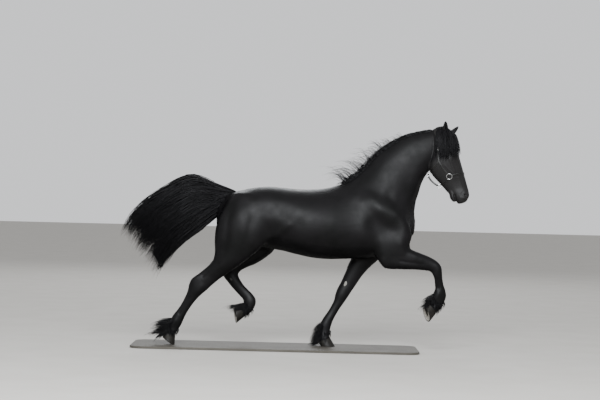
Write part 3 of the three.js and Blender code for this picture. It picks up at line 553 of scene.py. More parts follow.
def ball(centre, radius):
    """A round shell."""
    count = 24
    turns = np.linspace(0, math.pi, count // 2 + 1)[1:-1]
    around = TAU * np.arange(count) / count
    rings = np.stack(
        [
            np.outer(np.sin(turns), np.cos(around)),
            np.outer(np.sin(turns), np.sin(around)),
            np.repeat(np.cos(turns)[:, None], count, 1),
        ],
        -1,
    )
    centre = np.asarray(centre, float)
    up = np.array((0, 0, radius))
    return skinned(centre + rings * radius, centre + up, centre - up)


def leaf(side, shrink=0.0, forward=0.0, start=-0.35):
    """The leaf-shaped shell of an ear, or of its hollow."""
    ear = EARS[side]
    root, point = in_head([ear["base"], ear["tip"]])
    up = point - root
    long = np.linalg.norm(up)
    up /= long
    facing = np.array(ear["open"]) @ HEAD_TURN.T
    facing = unit(facing - up * facing.dot(up))
    across = np.cross(up, facing)
    places = [-0.35, -0.15, 0.05, 0.3, 0.52, 0.74, 0.9, 0.97]
    sizes = [0.7, 0.8, 0.85, 1, 0.94, 0.68, 0.36, 0.18]
    steps = np.linspace(start, 0.98, 26)
    size = np.interp(steps, places, sizes)[:, None, None]
    turn = (TAU * np.arange(24) / 24)[None, :, None]
    wide = np.maximum(EAR["wide"] * size - shrink, 1.2)
    deep = np.maximum(EAR["deep"] * size - shrink, 1.2)
    rings = (
        root
        + up * (steps * long)[:, None, None]
        + facing * forward
        + across * wide * np.sin(turn)
        + facing * deep * np.cos(turn)
    )
    top = root + up * (long - shrink) + facing * forward
    return skinned(rings, rings[0].mean(0), top)


def ear_object(side):
    """A cupped ear, its hollow cut out of the open side."""
    cup = mesh_object("ear_cup", [leaf(side, EAR["wall"], EAR["deep"] * 0.55, 0.1)])
    ear = mesh_object("ear", [leaf(side)])
    cut = ear.modifiers.new("cup", "BOOLEAN")
    cut.object = cup
    cut.solver = "EXACT"
    applied(ear)
    removed(cup)
    return ear


def joined(name, objs):
    """Several mesh objects as one."""
    points, faces = merged([(coords(o), [p.vertices for p in o.data.polygons]) for o in objs])
    mesh = bpy.data.meshes.new(name)
    mesh.from_pydata(points, [], faces)
    removed(*objs)
    return linked(name, mesh)


def body_weights(co, shells):
    """How near a point is to a place where two shells of the body meet."""
    trees = [BVHTree.FromPolygons(lifted(p).tolist(), f) for p, f in shells]
    far = np.full((len(co), len(trees)), 1.0)
    for k, tree in enumerate(trees):
        for i, point in enumerate(co):
            hit = tree.find_nearest(Vector(point), BLEND_REACH)
            if hit[3] is not None:
                far[i, k] = hit[3]
    second = np.sort(far, 1)[:, 1]
    near = np.clip(1 - second / BLEND_REACH, 0, 1)
    return near * near * (3 - 2 * near)


def rough_body():
    """Trunk, neck and limbs as one coarse surface, its junctions rounded."""
    shells = [
        loft(trunk_rows(), 64, 20, (28, 45), -COAT_DEPTH),
        loft(neck_rows(), 56, 20, (60, 40), -COAT_DEPTH),
        *(loft(limb_rows(name), 40, 16, (40, 0), -COAT_DEPTH) for name in LIMBS),
        loft(dock_rows(), 32, 14, (30, 14), 0),
    ]
    body = remeshed(mesh_object("body", shells), BODY_VOXEL)
    weights = body_weights(coords(body), shells)
    return smooth(body, np.maximum(weights, 0.02), 60)


def skin_object():
    """The whole surface of the horse, with head and lower legs finer than the body."""
    body = rough_body()
    shells = [
        head_loft(SKULL, (14, 18), -COAT_DEPTH),
        head_loft(CHIN, (20, 10), -COAT_DEPTH),
        *(loft(limb_rows(name)[8:], 40, 8, (0, 0), -COAT_DEPTH) for name in LIMBS),
        *(ball(eye_centre(sign), EYE["lid"]) for sign in SIDES.values()),
    ]
    pieces = [body, mesh_object("fine", shells), *(ear_object(side) for side in SIDES)]
    return remeshed(joined("horse_skin", pieces), SKIN_VOXEL)


# Relief of muscle, bone, tendon and vein. A place on a limb is its row and how far it lies from the
# front edge to the back edge.
def on_limb(name, places):
    rows = np.array(LIMBS[name], float)
    out = []
    for row, across in places:
        i = min(int(row), len(rows) - 2)
        r = rows[i] + (rows[i + 1] - rows[i]) * (row - i)
        out.append((r[0] + (r[2] - r[0]) * across, r[1] + (r[3] - r[1]) * across))
    return out


# Line, half width and height of each feature; a single point makes a round swelling
FORE_RELIEF = [
    ([(0.6, 0.45), (1.8, 0.42), (3.0, 0.3)], 54, 3),
    ([(1.2, 0.78), (2.4, 0.62), (3.4, 0.46)], 40, -3),
    ([(3.3, 0.12)], 66, 7),
    ([(3.7, 0.55), (5.6, 0.55)], 100, -22),
    ([(4.8, 0.26), (5.6, 0.26)], 44, 6),
    ([(5.4, 0.95), (5.9, 0.98)], 30, 8),
    ([(6.0, 0.2), (7.8, 0.24)], 36, 5),
    ([(6.4, 0.62), (8.6, 0.58)], 15, -3.5),
    ([(6.8, 0.86), (8.0, 0.82)], 24, 3),
    ([(10.4, 0.15), (11.4, 0.15)], 26, 4),
    ([(11.2, 0.9)], 18, 4),
    ([(12.2, 0.62), (14.6, 0.62)], 9, -5),
    ([(15.6, 0.6), (16.6, 0.7)], 22, 4),
]
HIND_RELIEF = [
    ([(0.4, 0.55), (1.6, 0.55), (3.0, 0.6)], 90, 6),
    ([(0.4, 0.86), (1.6, 0.82), (3.0, 0.78), (4.4, 0.76)], 30, -5),
    ([(1.2, 0.98), (3.2, 0.94)], 40, 4),
    ([(1.4, 0.2), (3.2, 0.22)], 70, 6),
    ([(1.0, 0.42), (2.4, 0.42), (3.8, 0.38)], 30, -3),
    ([(4.0, 0.08), (4.6, 0.1)], 40, 6),
    ([(5.0, 0.35), (6.6, 0.38)], 46, 5),
    ([(5.4, 0.74), (7.0, 0.78), (8.4, 0.74)], 20, -7),
    ([(8.4, 0.97), (9.2, 0.97)], 20, 5),
    ([(9.6, 0.35), (10.6, 0.35)], 24, 4),
    ([(12.0, 0.62), (14.6, 0.62)], 9, -5),
    ([(15.6, 0.6), (16.6, 0.7)], 22, 4),
]
TRUNK_RELIEF = [
    ([(66, 1262)], 84, 3.5),
    ([(-60, 1300), (-230, 1270)], 110, 3),
    ([(-320, 1165)], 130, 8),
    ([(30, 1200), (60, 1120), (40, 1040)], 84, -7),
    ([(128, 1090), (30, 1004), (-96, 930)], 32, 6),
    ([(180, 1060), (110, 950)], 84, -10),
    ([(450, 1130), (330, 1150)], 130, 5),
    ([(700, 1330), (840, 1285), (1000, 1235), (1130, 1110)], 90, 16),
    ([(850, 1085), (1020, 1065)], 90, -20),
    ([(740, 1130), (742, 1010), (770, 900)], 60, 5),
    ([(700, 1330), (660, 1230), (700, 1100)], 70, -3),
]
NECK_RELIEF = [
    ([(1262, 1560), (1228, 1420), (1176, 1262), (1120, 1150)], 24, -5),
    ([(1215, 1590), (1170, 1440), (1110, 1290), (1040, 1190)], 44, 5),
    ([(1130, 1760), (980, 1650), (830, 1520)], 80, 3),
    ([(985, 1400), (960, 1330), (1010, 1270), (1080, 1215)], 40, -4),
    ([(900, 1380), (850, 1290), (860, 1220)], 60, 3),
]
HEAD_RELIEF = [
    ([(292, 14), (430, 30)], 10, 4),
    ([(300, -96)], 66, 6),
    ([(352, -150), (250, -120)], 20, 4),
    ([(232, 72), (262, 76), (292, 56)], 10, 5),
    ([(206, 66)], 20, -6),
    ([(300, 78), (540, 88)], 9, 3),
    ([(470, 22), (590, 26)], 26, -4),
    ([(340, -40), (392, -14), (446, 26)], 5, 2),
    ([(470, 50), (560, 58)], 4, 1.6),
    ([(612, 94), (646, 92), (664, 66), (656, 44)], 8, 4),
    ([(604, 60), (616, 38), (640, 30)], 9, -3),
    ([(600, -20), (624, -22)], 8, -3),
    ([(606, -24), (644, -25), (674, -22)], 5, -5),
    ([(612, -6), (664, -8)], 10, 3),
    ([(620, -44), (652, -42)], 12, 3),
]


def along_line(points, line):
    """Distance of points in a plane to a line of places, and how far along it they lie."""
    line = np.array(line, float)
    if len(line) == 1:
        return np.linalg.norm(points - line[0], axis=1), np.full(len(points), 0.5)
    spans = np.linalg.norm(np.diff(line, axis=0), axis=1)
    starts = np.concatenate([[0], np.cumsum(spans)])
    best, place = np.full(len(points), 1e9), np.zeros(len(points))
    for k, (a, b) in enumerate(zip(line[:-1], line[1:])):
        t = np.clip((points - a) @ (b - a) / ((b - a) @ (b - a)), 0, 1)
        far = np.linalg.norm(points - a - t[:, None] * (b - a), axis=1)
        nearer = far < best
        best[nearer] = far[nearer]
        place[nearer] = (starts[k] + t[nearer] * spans[k]) / starts[-1]
    return best, place


def relief_height(flat, features):
    """Rise of the skin: each feature is a soft line that fades out at both its ends."""
    height = np.zeros(len(flat))
    for line, half, rise in features:
        line = catmull(line, 12) if len(line) > 2 else line
        far, place = along_line(flat, line)
        long = np.linalg.norm(np.diff(np.array(line), axis=0), axis=1).sum() if len(line) > 1 else 0
        fade = np.clip(0.4 + np.minimum(place, 1 - place) * long / (2.4 * half), 0, 1)
        if long < 3 * half:
            fade = 1.0
        height += rise * np.exp(-((far / half) ** 2)) * fade * fade * (3 - 2 * fade)
    return height


def lid_height(head):
    """Rims of the lids, and the fold over the upper one."""
    lean = math.radians(EYE["lean"])
    u, v = head[:, 0] - EYE["u"], head[:, 1] - EYE["v"]
    long, high = u * math.cos(lean) + v * math.sin(lean), v * math.cos(lean) - u * math.sin(lean)
    far = np.hypot(long / EYE["open"][0], high / EYE["open"][1])
    rim = 2.0 * np.exp(-(((far - 1.2) / 0.16) ** 2))
    return rim - 2.6 * (high > 0) * np.exp(-(((far - 1.9) / 0.2) ** 2))


def sculpt(skin):
    """Raises muscle, bone, tendon and vein out of the skin, on both sides."""
    co, no = coords(skin), normals(skin)
    points = lowered(co)
    height = np.zeros(len(co))
    head = from_head(points)
    on_head = 1 / (1 + np.exp(-(head[:, 0] - 40) / 18))
    on_head *= 1 / (1 + np.exp(-(head[:, 1] + 190) / 10))
    for side, sign in SIDES.items():
        outer = np.clip(no[:, 1] * sign * 1.6, 0, 1) * (points[:, 1] * sign > 5)
        body = [*TRUNK_RELIEF, *NECK_RELIEF]
        for leg, features in (("foreleg", FORE_RELIEF), ("hindleg", HIND_RELIEF)):
            name = f"{leg}_{side}"
            body += [(on_limb(name, line), half, rise) for line, half, rise in features]
        height += outer * (1 - on_head) * relief_height(points[:, [0, 2]], body)
        cheek = np.clip((no @ HEAD_TURN)[:, 2] * sign * 1.6, 0, 1) * (head[:, 2] * sign > 3)
        height += cheek * on_head * (relief_height(head[:, :2], HEAD_RELIEF) + lid_height(head))
    set_coords(skin, co + no * height[:, None] * MM)
    return skin


def thinned(obj, target):
    """Brings a mesh down to a count of triangles, sparing the head."""
    obj.data.calc_loop_triangles()
    now = len(obj.data.loop_triangles)
    points = lowered(coords(obj))
    head = from_head(points)
    spare = (head[:, 0] > -60) & (np.abs(head[:, 1]) < 260) & (points[:, 0] > 1200)
    spare &= points[:, 2] > 1250
    group = obj.vertex_groups.new(name="thin")
    group.add(np.nonzero(~spare)[0].tolist(), 1.0, "REPLACE")
    modifier = obj.modifiers.new("thin", "DECIMATE")
    modifier.ratio = target / now
    modifier.vertex_group = "thin"
    modifier.vertex_group_factor = 1.0
    applied(obj)
    obj.vertex_groups.clear()
    return obj


# Materials
def linear(value):
    """An sRGB hex colour as linear RGBA."""
    parts = [int(value[i : i + 2], 16) / 255 for i in (1, 3, 5)]
    return (*(c / 12.92 if c <= 0.04045 else ((c + 0.055) / 1.055) ** 2.4 for c in parts), 1)


def add_node(tree, kind, settings=None, **inputs):
    """Adds a node with its settings, and sets or links its inputs by name or number."""
    node = tree.nodes.new(kind)
    for key, value in (settings or {}).items():
        setattr(node, key, value)
    feed(tree, node, inputs)
    return node


def feed(tree, node, inputs):
    """Sets or links a node's inputs, each by its name, or as i and its number.

    A node given for an input stands for its first output that is in use.
    """
    for key, value in inputs.items():
        if isinstance(value, bpy.types.Node):
            value = next(output for output in value.outputs if output.enabled)
        numbered = key[0] == "i" and key[1:].isdigit()
        socket = node.inputs[int(key[1:]) if numbered else key.replace("_", " ")]
        if isinstance(value, bpy.types.NodeSocket):
            tree.links.new(value, socket)
        else:
            socket.default_value = value


def new_material(name):
    """A material, its tree, and the place of each point in the piece's own coordinates."""
    material = bpy.data.materials.new(name)
    material.use_nodes = True
    tree = material.node_tree
    return material, tree, add_node(tree, "ShaderNodeTexCoord").outputs["Object"]


def set_shader(tree, **values):
    feed(tree, tree.nodes["Principled BSDF"], values)


# Kinds of node that the materials share
NOISE, RANGE, MIX = "ShaderNodeTexNoise", "ShaderNodeMapRange", "ShaderNodeMix"
MAPPING, BUMP = "ShaderNodeMapping", "ShaderNodeBump"
COLOURS = {"data_type": "RGBA"}


def grain(size):
    """The scale of a noise whose grain is about that many millimetres across."""
    return 1000 / size


def coat_material(colours):
    """Horse coat: short flat glossy hair; broad soft highlights, black with grey in the light."""
    material, tree, place = new_material("short_black_horse_coat")
    # Rows of hair lie 4 mm apart; drawn 7 mm apart and run together so that they still show
    flow = add_node(tree, MAPPING, Vector=place, Scale=(0.3, 1.0, 1.0))
    hairs = add_node(tree, NOISE, Vector=flow, Scale=grain(7), Detail=5.0)
    veins = add_node(tree, NOISE, Vector=place, Scale=grain(70), Detail=3.0)
    clouds = add_node(tree, NOISE, Vector=place, Scale=grain(190), Detail=3.0)
    lit = add_node(tree, RANGE, i0=clouds, i1=0.35, i2=0.65, i3=0, i4=1)
    body = add_node(tree, MIX, COLOURS, i0=lit, i6=(*colours.coat, 1), i7=(*colours.coat_lit, 1))
    # The face below the forelock is painted lighter by its mask: partly dust, partly a painted sheen
    face = add_node(tree, "ShaderNodeAttribute", {"attribute_name": "face"}).outputs["Fac"]
    set_shader(
        tree, Base_Color=add_node(tree, MIX, COLOURS, i0=face, i6=body, i7=(*colours.face, 1)),
        Roughness=add_node(tree, RANGE, i0=veins, i1=0.3, i2=0.7, i3=0.4, i4=0.5),
        Normal=add_node(tree, BUMP, Strength=0.5, Distance=0.8 * MM, Height=hairs),
        Specular_IOR_Level=0.085,
    )
    return material


def hair_material(colours):
    """Mane, tail and feather: long coarse smooth hair, black, each strand a little different."""
    material, tree, place = new_material("long_black_horse_hair")
    strands = add_node(tree, NOISE, Vector=place, Scale=grain(14), Detail=2.0)
    lit = add_node(tree, RANGE, i0=strands, i1=0.35, i2=0.65, i3=0, i4=1)
    dark, light = (*colours.hair, 1), (*colours.hair_lit, 1)
    set_shader(
        tree, Base_Color=add_node(tree, MIX, COLOURS, i0=lit, i6=dark, i7=light),
        Roughness=add_node(tree, RANGE, i0=lit, i1=0, i2=1, i3=0.4, i4=0.5),
        Specular_IOR_Level=0.1,
    )
    return material


def horn_material(colours):
    """Hoof wall: horn grown in rings about 6 mm apart, matt, with fine cracks down the wall."""
    material, tree, place = new_material("slate_hoof_horn")
    rings = add_node(
        tree, "ShaderNodeTexWave", {"bands_direction": "Z"}, Vector=place, Scale=26.0,
        Distortion=1.4, Detail=2.0,
    ).outputs["Fac"]
    down = add_node(tree, MAPPING, Vector=place, Scale=(1.0, 1.0, 0.15))
    cracks = add_node(tree, NOISE, Vector=down, Scale=grain(3), Detail=4.0)
    dirt = add_node(tree, NOISE, Vector=place, Scale=grain(26), Detail=3.0)
    dust = add_node(tree, RANGE, i0=dirt, i1=0.4, i2=0.62, i3=0, i4=1)
    dark, dusty = (*colours.hoof, 1), linear("#1c1a17")
    both = add_node(tree, "ShaderNodeMath", {"operation": "ADD"}, i0=rings, i1=cracks)
    set_shader(
        tree, Base_Color=add_node(tree, MIX, COLOURS, i0=dust, i6=dark, i7=dusty),
        Roughness=add_node(tree, RANGE, i0=dust, i1=0, i2=1, i3=0.42, i4=0.62),
        Normal=add_node(tree, BUMP, Strength=0.7, Distance=0.5 * MM, Height=both),
        Specular_IOR_Level=0.12,
    )
    return material


def sole_material(colours):
    """Sole and frog: dry flaky horn, pale grey, chalky with arena sand."""
    material, tree, place = new_material("dry_pale_sole_horn")
    flakes = add_node(tree, NOISE, Vector=place, Scale=grain(12), Detail=5.0)
    worn = add_node(tree, RANGE, i0=flakes, i1=0.35, i2=0.65, i3=0, i4=1)
    pale, grey = (*colours.sole, 1), linear("#6d6a63")
    set_shader(
        tree, Base_Color=add_node(tree, MIX, COLOURS, i0=worn, i6=pale, i7=grey),
        Roughness=add_node(tree, RANGE, i0=flakes, i1=0.3, i2=0.7, i3=0.7, i4=0.86),
        Normal=add_node(tree, BUMP, Strength=1.0, Distance=1.0 * MM, Height=flakes),
        Specular_IOR_Level=0.3,
    )
    return material


def eye_materials():
    """Eyeball, iris and pupil: wet and smooth as glass, the iris with fibres round the pupil."""
    made = []
    for name, first, second in (
        ("wet_eyeball_rim", "#120c0a", "#0a0706"), ("wet_brown_iris", "#170b06", "#0b0604"),
        ("wet_pupil", "#030304", "#05060a"),
    ):
        material, tree, place = new_material(name)
        fibres = add_node(tree, NOISE, Vector=place, Scale=grain(2.2), Detail=3.0)
        ends = {"i6": linear(first), "i7": linear(second)}
        set_shader(
            tree, Base_Color=add_node(tree, MIX, COLOURS, i0=fibres, **ends),
            Roughness=add_node(tree, RANGE, i0=fibres, i1=0.3, i2=0.7, i3=0.05, i4=0.09),
            Specular_IOR_Level=0.3, Coat_Weight=0.4,
        )
        made.append(material)
    return made


def leather_material(colours):
    """Halter leather: vegetable-tanned, waxed black, grain about 1 mm, worn duller in places."""
    material, tree, place = new_material("waxed_black_leather")
    # Grain of 1 mm is drawn at 2.4 mm so that it shows
    cells = add_node(tree, "ShaderNodeTexVoronoi", Vector=place, Scale=420.0)
    rubbed = add_node(tree, NOISE, Vector=place, Scale=grain(45), Detail=3.0)
    wear = add_node(tree, RANGE, i0=rubbed, i1=0.4, i2=0.65, i3=0, i4=1)
    black, worn = (*colours.leather, 1), linear("#0f0e0d")
    set_shader(
        tree, Base_Color=add_node(tree, MIX, COLOURS, i0=wear, i6=black, i7=worn),
        Roughness=add_node(tree, RANGE, i0=wear, i1=0, i2=1, i3=0.28, i4=0.46),
        Normal=add_node(tree, BUMP, Strength=0.6, Distance=0.3 * MM, Height=cells),
        Specular_IOR_Level=0.2,
    )
    return material


def metal_material(colours):
    """Nickel-plated steel fittings: mirror plating with fine rubbed scratches."""
    material, tree, place = new_material("nickel_plated_steel")
    rubbed = add_node(tree, MAPPING, Vector=place, Scale=(1.0, 0.2, 1.0))
    scratches = add_node(tree, NOISE, Vector=rubbed, Scale=grain(2), Detail=4.0)
    stains = add_node(tree, NOISE, Vector=place, Scale=grain(9), Detail=3.0)
    dull = add_node(tree, RANGE, i0=stains, i1=0.4, i2=0.7, i3=0, i4=1)
    bright, grey = (*colours.metal, 1), linear("#9a9a97")
    set_shader(
        tree, Base_Color=add_node(tree, MIX, COLOURS, i0=dull, i6=bright, i7=grey),
        Roughness=add_node(tree, RANGE, i0=scratches, i1=0.3, i2=0.7, i3=0.16, i4=0.3),
        Normal=add_node(tree, BUMP, Strength=1.0, Distance=0.08 * MM, Height=scratches),
        Metallic=1.0,
    )
    return material


def thread_material():
    """Waxed linen thread of the stitches: dull dark grey, a little lighter than the leather."""
    material, tree, place = new_material("waxed_linen_thread")
    ply = add_node(tree, NOISE, Vector=place, Scale=grain(0.8), Detail=2.0)
    light, dark = linear("#2c2b29"), linear("#1f1e1c")
    set_shader(
        tree, Base_Color=add_node(tree, MIX, COLOURS, i0=ply, i6=light, i7=dark),
        Roughness=add_node(tree, RANGE, i0=ply, i1=0.3, i2=0.7, i3=0.6, i4=0.75),
        Normal=add_node(tree, BUMP, Strength=1.0, Distance=0.2 * MM, Height=ply),
    )
    return material


def callus_material(name, light, dark):
    """Chestnuts on the legs: horn in flaky layers, grey in front, dark behind; the grey of the front
    ones is partly dry horn, partly a painted reflection.
    """
    material, tree, place = new_material(name)
    layers = add_node(tree, NOISE, Vector=place, Scale=grain(5), Detail=4.0)
    ends = {"i6": linear(light), "i7": linear(dark)}
    set_shader(
        tree, Base_Color=add_node(tree, MIX, COLOURS, i0=layers, **ends),
        Roughness=add_node(tree, RANGE, i0=layers, i1=0.3, i2=0.7, i3=0.65, i4=0.85),
        Normal=add_node(tree, BUMP, Strength=1.0, Distance=1.0 * MM, Height=layers),
    )
    return material


def base_material(colours):
    """Base plate: board painted sand grey and sealed, matt, with a fine speckle in the paint."""
    material, tree, place = new_material("sealed_grey_board")
    specks = add_node(tree, NOISE, Vector=place, Scale=grain(7), Detail=4.0)
    broad = add_node(tree, NOISE, Vector=place, Scale=grain(260), Detail=3.0)
    clouds = add_node(tree, RANGE, i0=broad, i1=0.35, i2=0.65, i3=0, i4=1)
    plain, darker = (*colours.base, 1), linear("#423f3a")
    ground = add_node(tree, MIX, COLOURS, i0=clouds, i6=plain, i7=darker)
    dots = add_node(tree, RANGE, i0=specks, i1=0.55, i2=0.66, i3=0, i4=0.6)
    set_shader(
        tree, Base_Color=add_node(tree, MIX, COLOURS, i0=dots, i6=ground, i7=linear("#2b2925")),
        Roughness=add_node(tree, RANGE, i0=specks, i1=0.3, i2=0.7, i3=0.5, i4=0.66),
        Normal=add_node(tree, BUMP, Strength=1.0, Distance=0.25 * MM, Height=specks),
        Specular_IOR_Level=0.12,
    )
    return material


def floor_material():
    """Studio floor: matt painted screed, faint roller mottling."""
    material, tree, place = new_material("matt_studio_floor")
    mottle = add_node(tree, NOISE, Vector=place, Scale=grain(420), Detail=4.0)
    light, dark = linear("#a5a29d"), linear("#9b9892")
    set_shader(
        tree, Base_Color=add_node(tree, MIX, COLOURS, i0=mottle, i6=light, i7=dark),
        Roughness=add_node(tree, RANGE, i0=mottle, i1=0.3, i2=0.7, i3=0.82, i4=0.92),
        Normal=add_node(tree, BUMP, Strength=1.0, Distance=0.3 * MM, Height=mottle),
    )
    return material


# Where a point lies on the body: the nearest part, how far along it and how far round it
def body_lines():
    """Middle line and radius of each part, in the direction in which its coat lies."""
    parts = [
        np.array(trunk_rows()),
        np.array(neck_rows())[::-1],
        *(np.array(limb_rows(name))[3:] for name in LIMBS),
    ]
    lines = [((p[:, 0:3] + p[:, 3:6]) / 2, p[:, 6]) for p in parts]
    skull = np.array(SKULL)
    middle = np.stack([skull[:, 0], (skull[:, 1] + skull[:, 2]) / 2, skull[:, 0] * 0], 1)
    lines.append((in_head(middle), skull[:, 3]))
    lines.append(((FAN_LOWER[::30] + FAN_UPPER[::30]) / 2, np.array(TAIL["spread"])))
    return lines


def unwrap(points):
    """Each point's place on an unwrap of the body's parts, and the lie of the coat there."""
    best = np.full(len(points), 1e9)
    flat = np.zeros((len(points), 2))
    lie = np.zeros((len(points), 3))
    for cell, (line, radii) in enumerate(body_lines()):
        spans = np.linalg.norm(np.diff(line, axis=0), axis=1)
        starts = np.concatenate([[0], np.cumsum(spans)])
        for k, (a, b) in enumerate(zip(line[:-1], line[1:])):
            way = (b - a) / spans[k]
            t = np.clip((points - a) @ way / spans[k], 0, 1)
            off = points - a - t[:, None] * (b - a)
            radius = radii[k] + (radii[k + 1] - radii[k]) * t
            score = np.linalg.norm(off, axis=1) / radius
            nearer = score < best
            best[nearer] = score[nearer]
            up = np.cross(way, (0, 1, 0))
            turn = np.arctan2(off[:, 1], off @ up) / TAU + 0.5
            along = (starts[k] + t * spans[k]) / starts[-1]
            u = (cell % 4 + 0.04 + 0.92 * along) / 4
            v = (cell // 4 + 0.04 + 0.92 * turn) / 2
            flat[nearer] = np.stack([u, v], 1)[nearer]
            lie[nearer] = way
    return flat, lie


# Hair
def lock_shells(guides, facing, wide, thick):
    """Closed, flat, tapering locks of three sides along guides (locks, steps, 3)."""
    many, steps = guides.shape[:2]
    along = np.gradient(guides, axis=1)
    along /= np.linalg.norm(along, axis=2)[..., None] + 1e-9
    across = np.cross(along, facing[:, None, :])
    across /= np.linalg.norm(across, axis=2)[..., None] + 1e-9
    out = np.cross(across, along)
    t = np.linspace(0, 1, steps)
    size = (0.75 + 0.25 * np.sin(np.pi * np.minimum(1, 1.6 * t))) * (1 - t**2.6)
    size = np.maximum(size, 0.04)[None, :, None, None]
    ring = np.array([[0.5, -0.25], [0, 0.5], [-0.5, -0.25]])
    points = (
        guides[:, :, None, :]
        + across[:, :, None, :] * ring[None, None, :, :1] * wide[:, None, None, None] * size
        + out[:, :, None, :] * ring[None, None, :, 1:] * thick[:, None, None, None] * size
    )
    i = np.arange(3)
    j = (i + 1) % 3
    base = np.arange(steps - 1)[:, None] * 3
    side = np.stack([base + j, base + i, base + i + 3, base + j + 3], -1).reshape(-1, 4)
    ends = np.array([[0, 1, 2], [2, 1, 0]]) + [[0], [(steps - 1) * 3]]
    first = (np.arange(many) * steps * 3)[:, None, None]
    sides, ends = (side[None] + first).reshape(-1, 4), (ends[None] + first).reshape(-1, 3)
    patch = np.stack(
        [np.tile(ring[:, 0], steps) * PATCH, np.repeat(t - 0.5, 3) * PATCH], -1
    )
    root, _ = unwrap(guides[:, 0])
    flat = (root[:, None, :] + patch[None]).reshape(-1, 2)
    return points.reshape(-1, 3), sides, ends, flat


def resampled(path, starts, ends, steps):
    """Every strand (strands, points, 3) again from its start to its end share."""
    count, many = path.shape[:2]
    share = np.linspace(0, 1, steps)[None] * (ends - starts)[:, None] + starts[:, None]
    at = share * (many - 1)
    i = np.minimum(at.astype(int), many - 2)
    f = (at - i)[..., None]
    row = np.arange(count)[:, None]
    return path[row, i] * (1 - f) + path[row, i + 1] * f


def clump(rng, guide, facing, room, locks, gather, wave, ends, wide, thick):
    """The locks of one clump, gathered toward its tip: their guides, facing, widths, thicknesses.

    Room is how wide and deep the clump is at its root. Locks is how many it has, and of how
    many points each. Ends, wide and thick are the spans from which each lock draws its own.
    """
    count, steps = locks
    t = np.linspace(0, 1, 24)
    path = catmull(guide, 24)
    along = unit(np.gradient(path, axis=0))
    across = unit(np.cross(along, facing))
    out = np.cross(across, along)
    a = rng.uniform(-0.5, 0.5, (count, 1, 1)) * room[0]
    b = rng.uniform(-0.5, 0.5, (count, 1, 1)) * room[1]
    close = (1 - gather * t**1.4)[None, :, None]
    turn = rng.uniform(0, TAU, (count, 1, 1))
    ripple = wave * np.sin(turn + 9 * t[None, :, None]) * t[None, :, None]
    strands = path[None] + across[None] * (a * close + ripple) + out[None] * (b * close)
    guides = resampled(strands, rng.uniform(0.0, 0.08, count), rng.uniform(*ends, count), steps)
    return guides, facing, rng.uniform(*wide, count), rng.uniform(*thick, count)


def hair_object(name, groups, material):
    """One mesh of many locks, each with its patch at its root's place on the unwrap."""
    guides, wide, thick = (np.concatenate([g[k] for g in groups]) for k in (0, 2, 3))
    facing = np.concatenate([np.broadcast_to(g[1], (len(g[0]), 3)) for g in groups])
    wide *= bpy.context.scene.horse_sizes.lock_width
    points, sides, ends, flat = lock_shells(guides, facing, wide, thick)
    loops = np.concatenate([sides.ravel(), ends.ravel()]).astype(np.int32)
    starts = np.concatenate([np.arange(len(sides)) * 4, sides.size + np.arange(len(ends)) * 3])
    mesh = bpy.data.meshes.new(name)
    mesh.vertices.add(len(points))
    mesh.vertices.foreach_set("co", lifted(points).astype(np.float32).ravel())
    mesh.loops.add(len(loops))
    mesh.loops.foreach_set("vertex_index", loops)
    mesh.polygons.add(len(starts))
    mesh.polygons.foreach_set("loop_start", starts.astype(np.int32))
    mesh.update(calc_edges=True)
    layer = mesh.uv_layers.new(name="OFBake")
    layer.uv.foreach_set("vector", flat[loops].astype(np.float32).ravel())
    obj = linked(name, mesh)
    shade_smooth(obj)
    return dressed(obj, "hair", material)


FAN_UPPER, FAN_LOWER = (
    catmull([(x, 0, z) for x, z in TAIL[edge]], 200) for edge in ("upper", "lower")
)
CREST = catmull([(r[0], 0, r[1]) for r in NECK], 300)


def on_crest(t):
    """A place on the crest, from the withers to the poll."""
    return CREST[int(t * (len(CREST) - 1))]


def in_fan(t, high, across):
    """A place in the tail: toward the tips, from lower to upper edge, and to the side."""
    k = int(np.clip(t, 0, 1) * (len(FAN_LOWER) - 1))
    point = FAN_LOWER[k] + (FAN_UPPER[k] - FAN_LOWER[k]) * high
    room = math.sqrt(max(0.0, 1 - (2 * high - 1) ** 2))
    spread = np.interp(t, np.linspace(0, 1, 7), TAIL["spread"])
    return point + (0, across * spread * (0.25 + 0.75 * room), 0)


def dock_rows():
    """The fleshy root of the tail, thinning out within the hair."""
    rows = []
    for t, half in ((0.0, 44), (0.08, 38), (0.16, 30), (0.25, 22), (0.33, 15)):
        a, b = in_fan(t, 0.9, 0), in_fan(t, 0.9, 0) * 0.55 + in_fan(t, 0.1, 0) * 0.45
        rows.append([*a, *b, half, 0.5, 0.95, 0.95])
    return rows


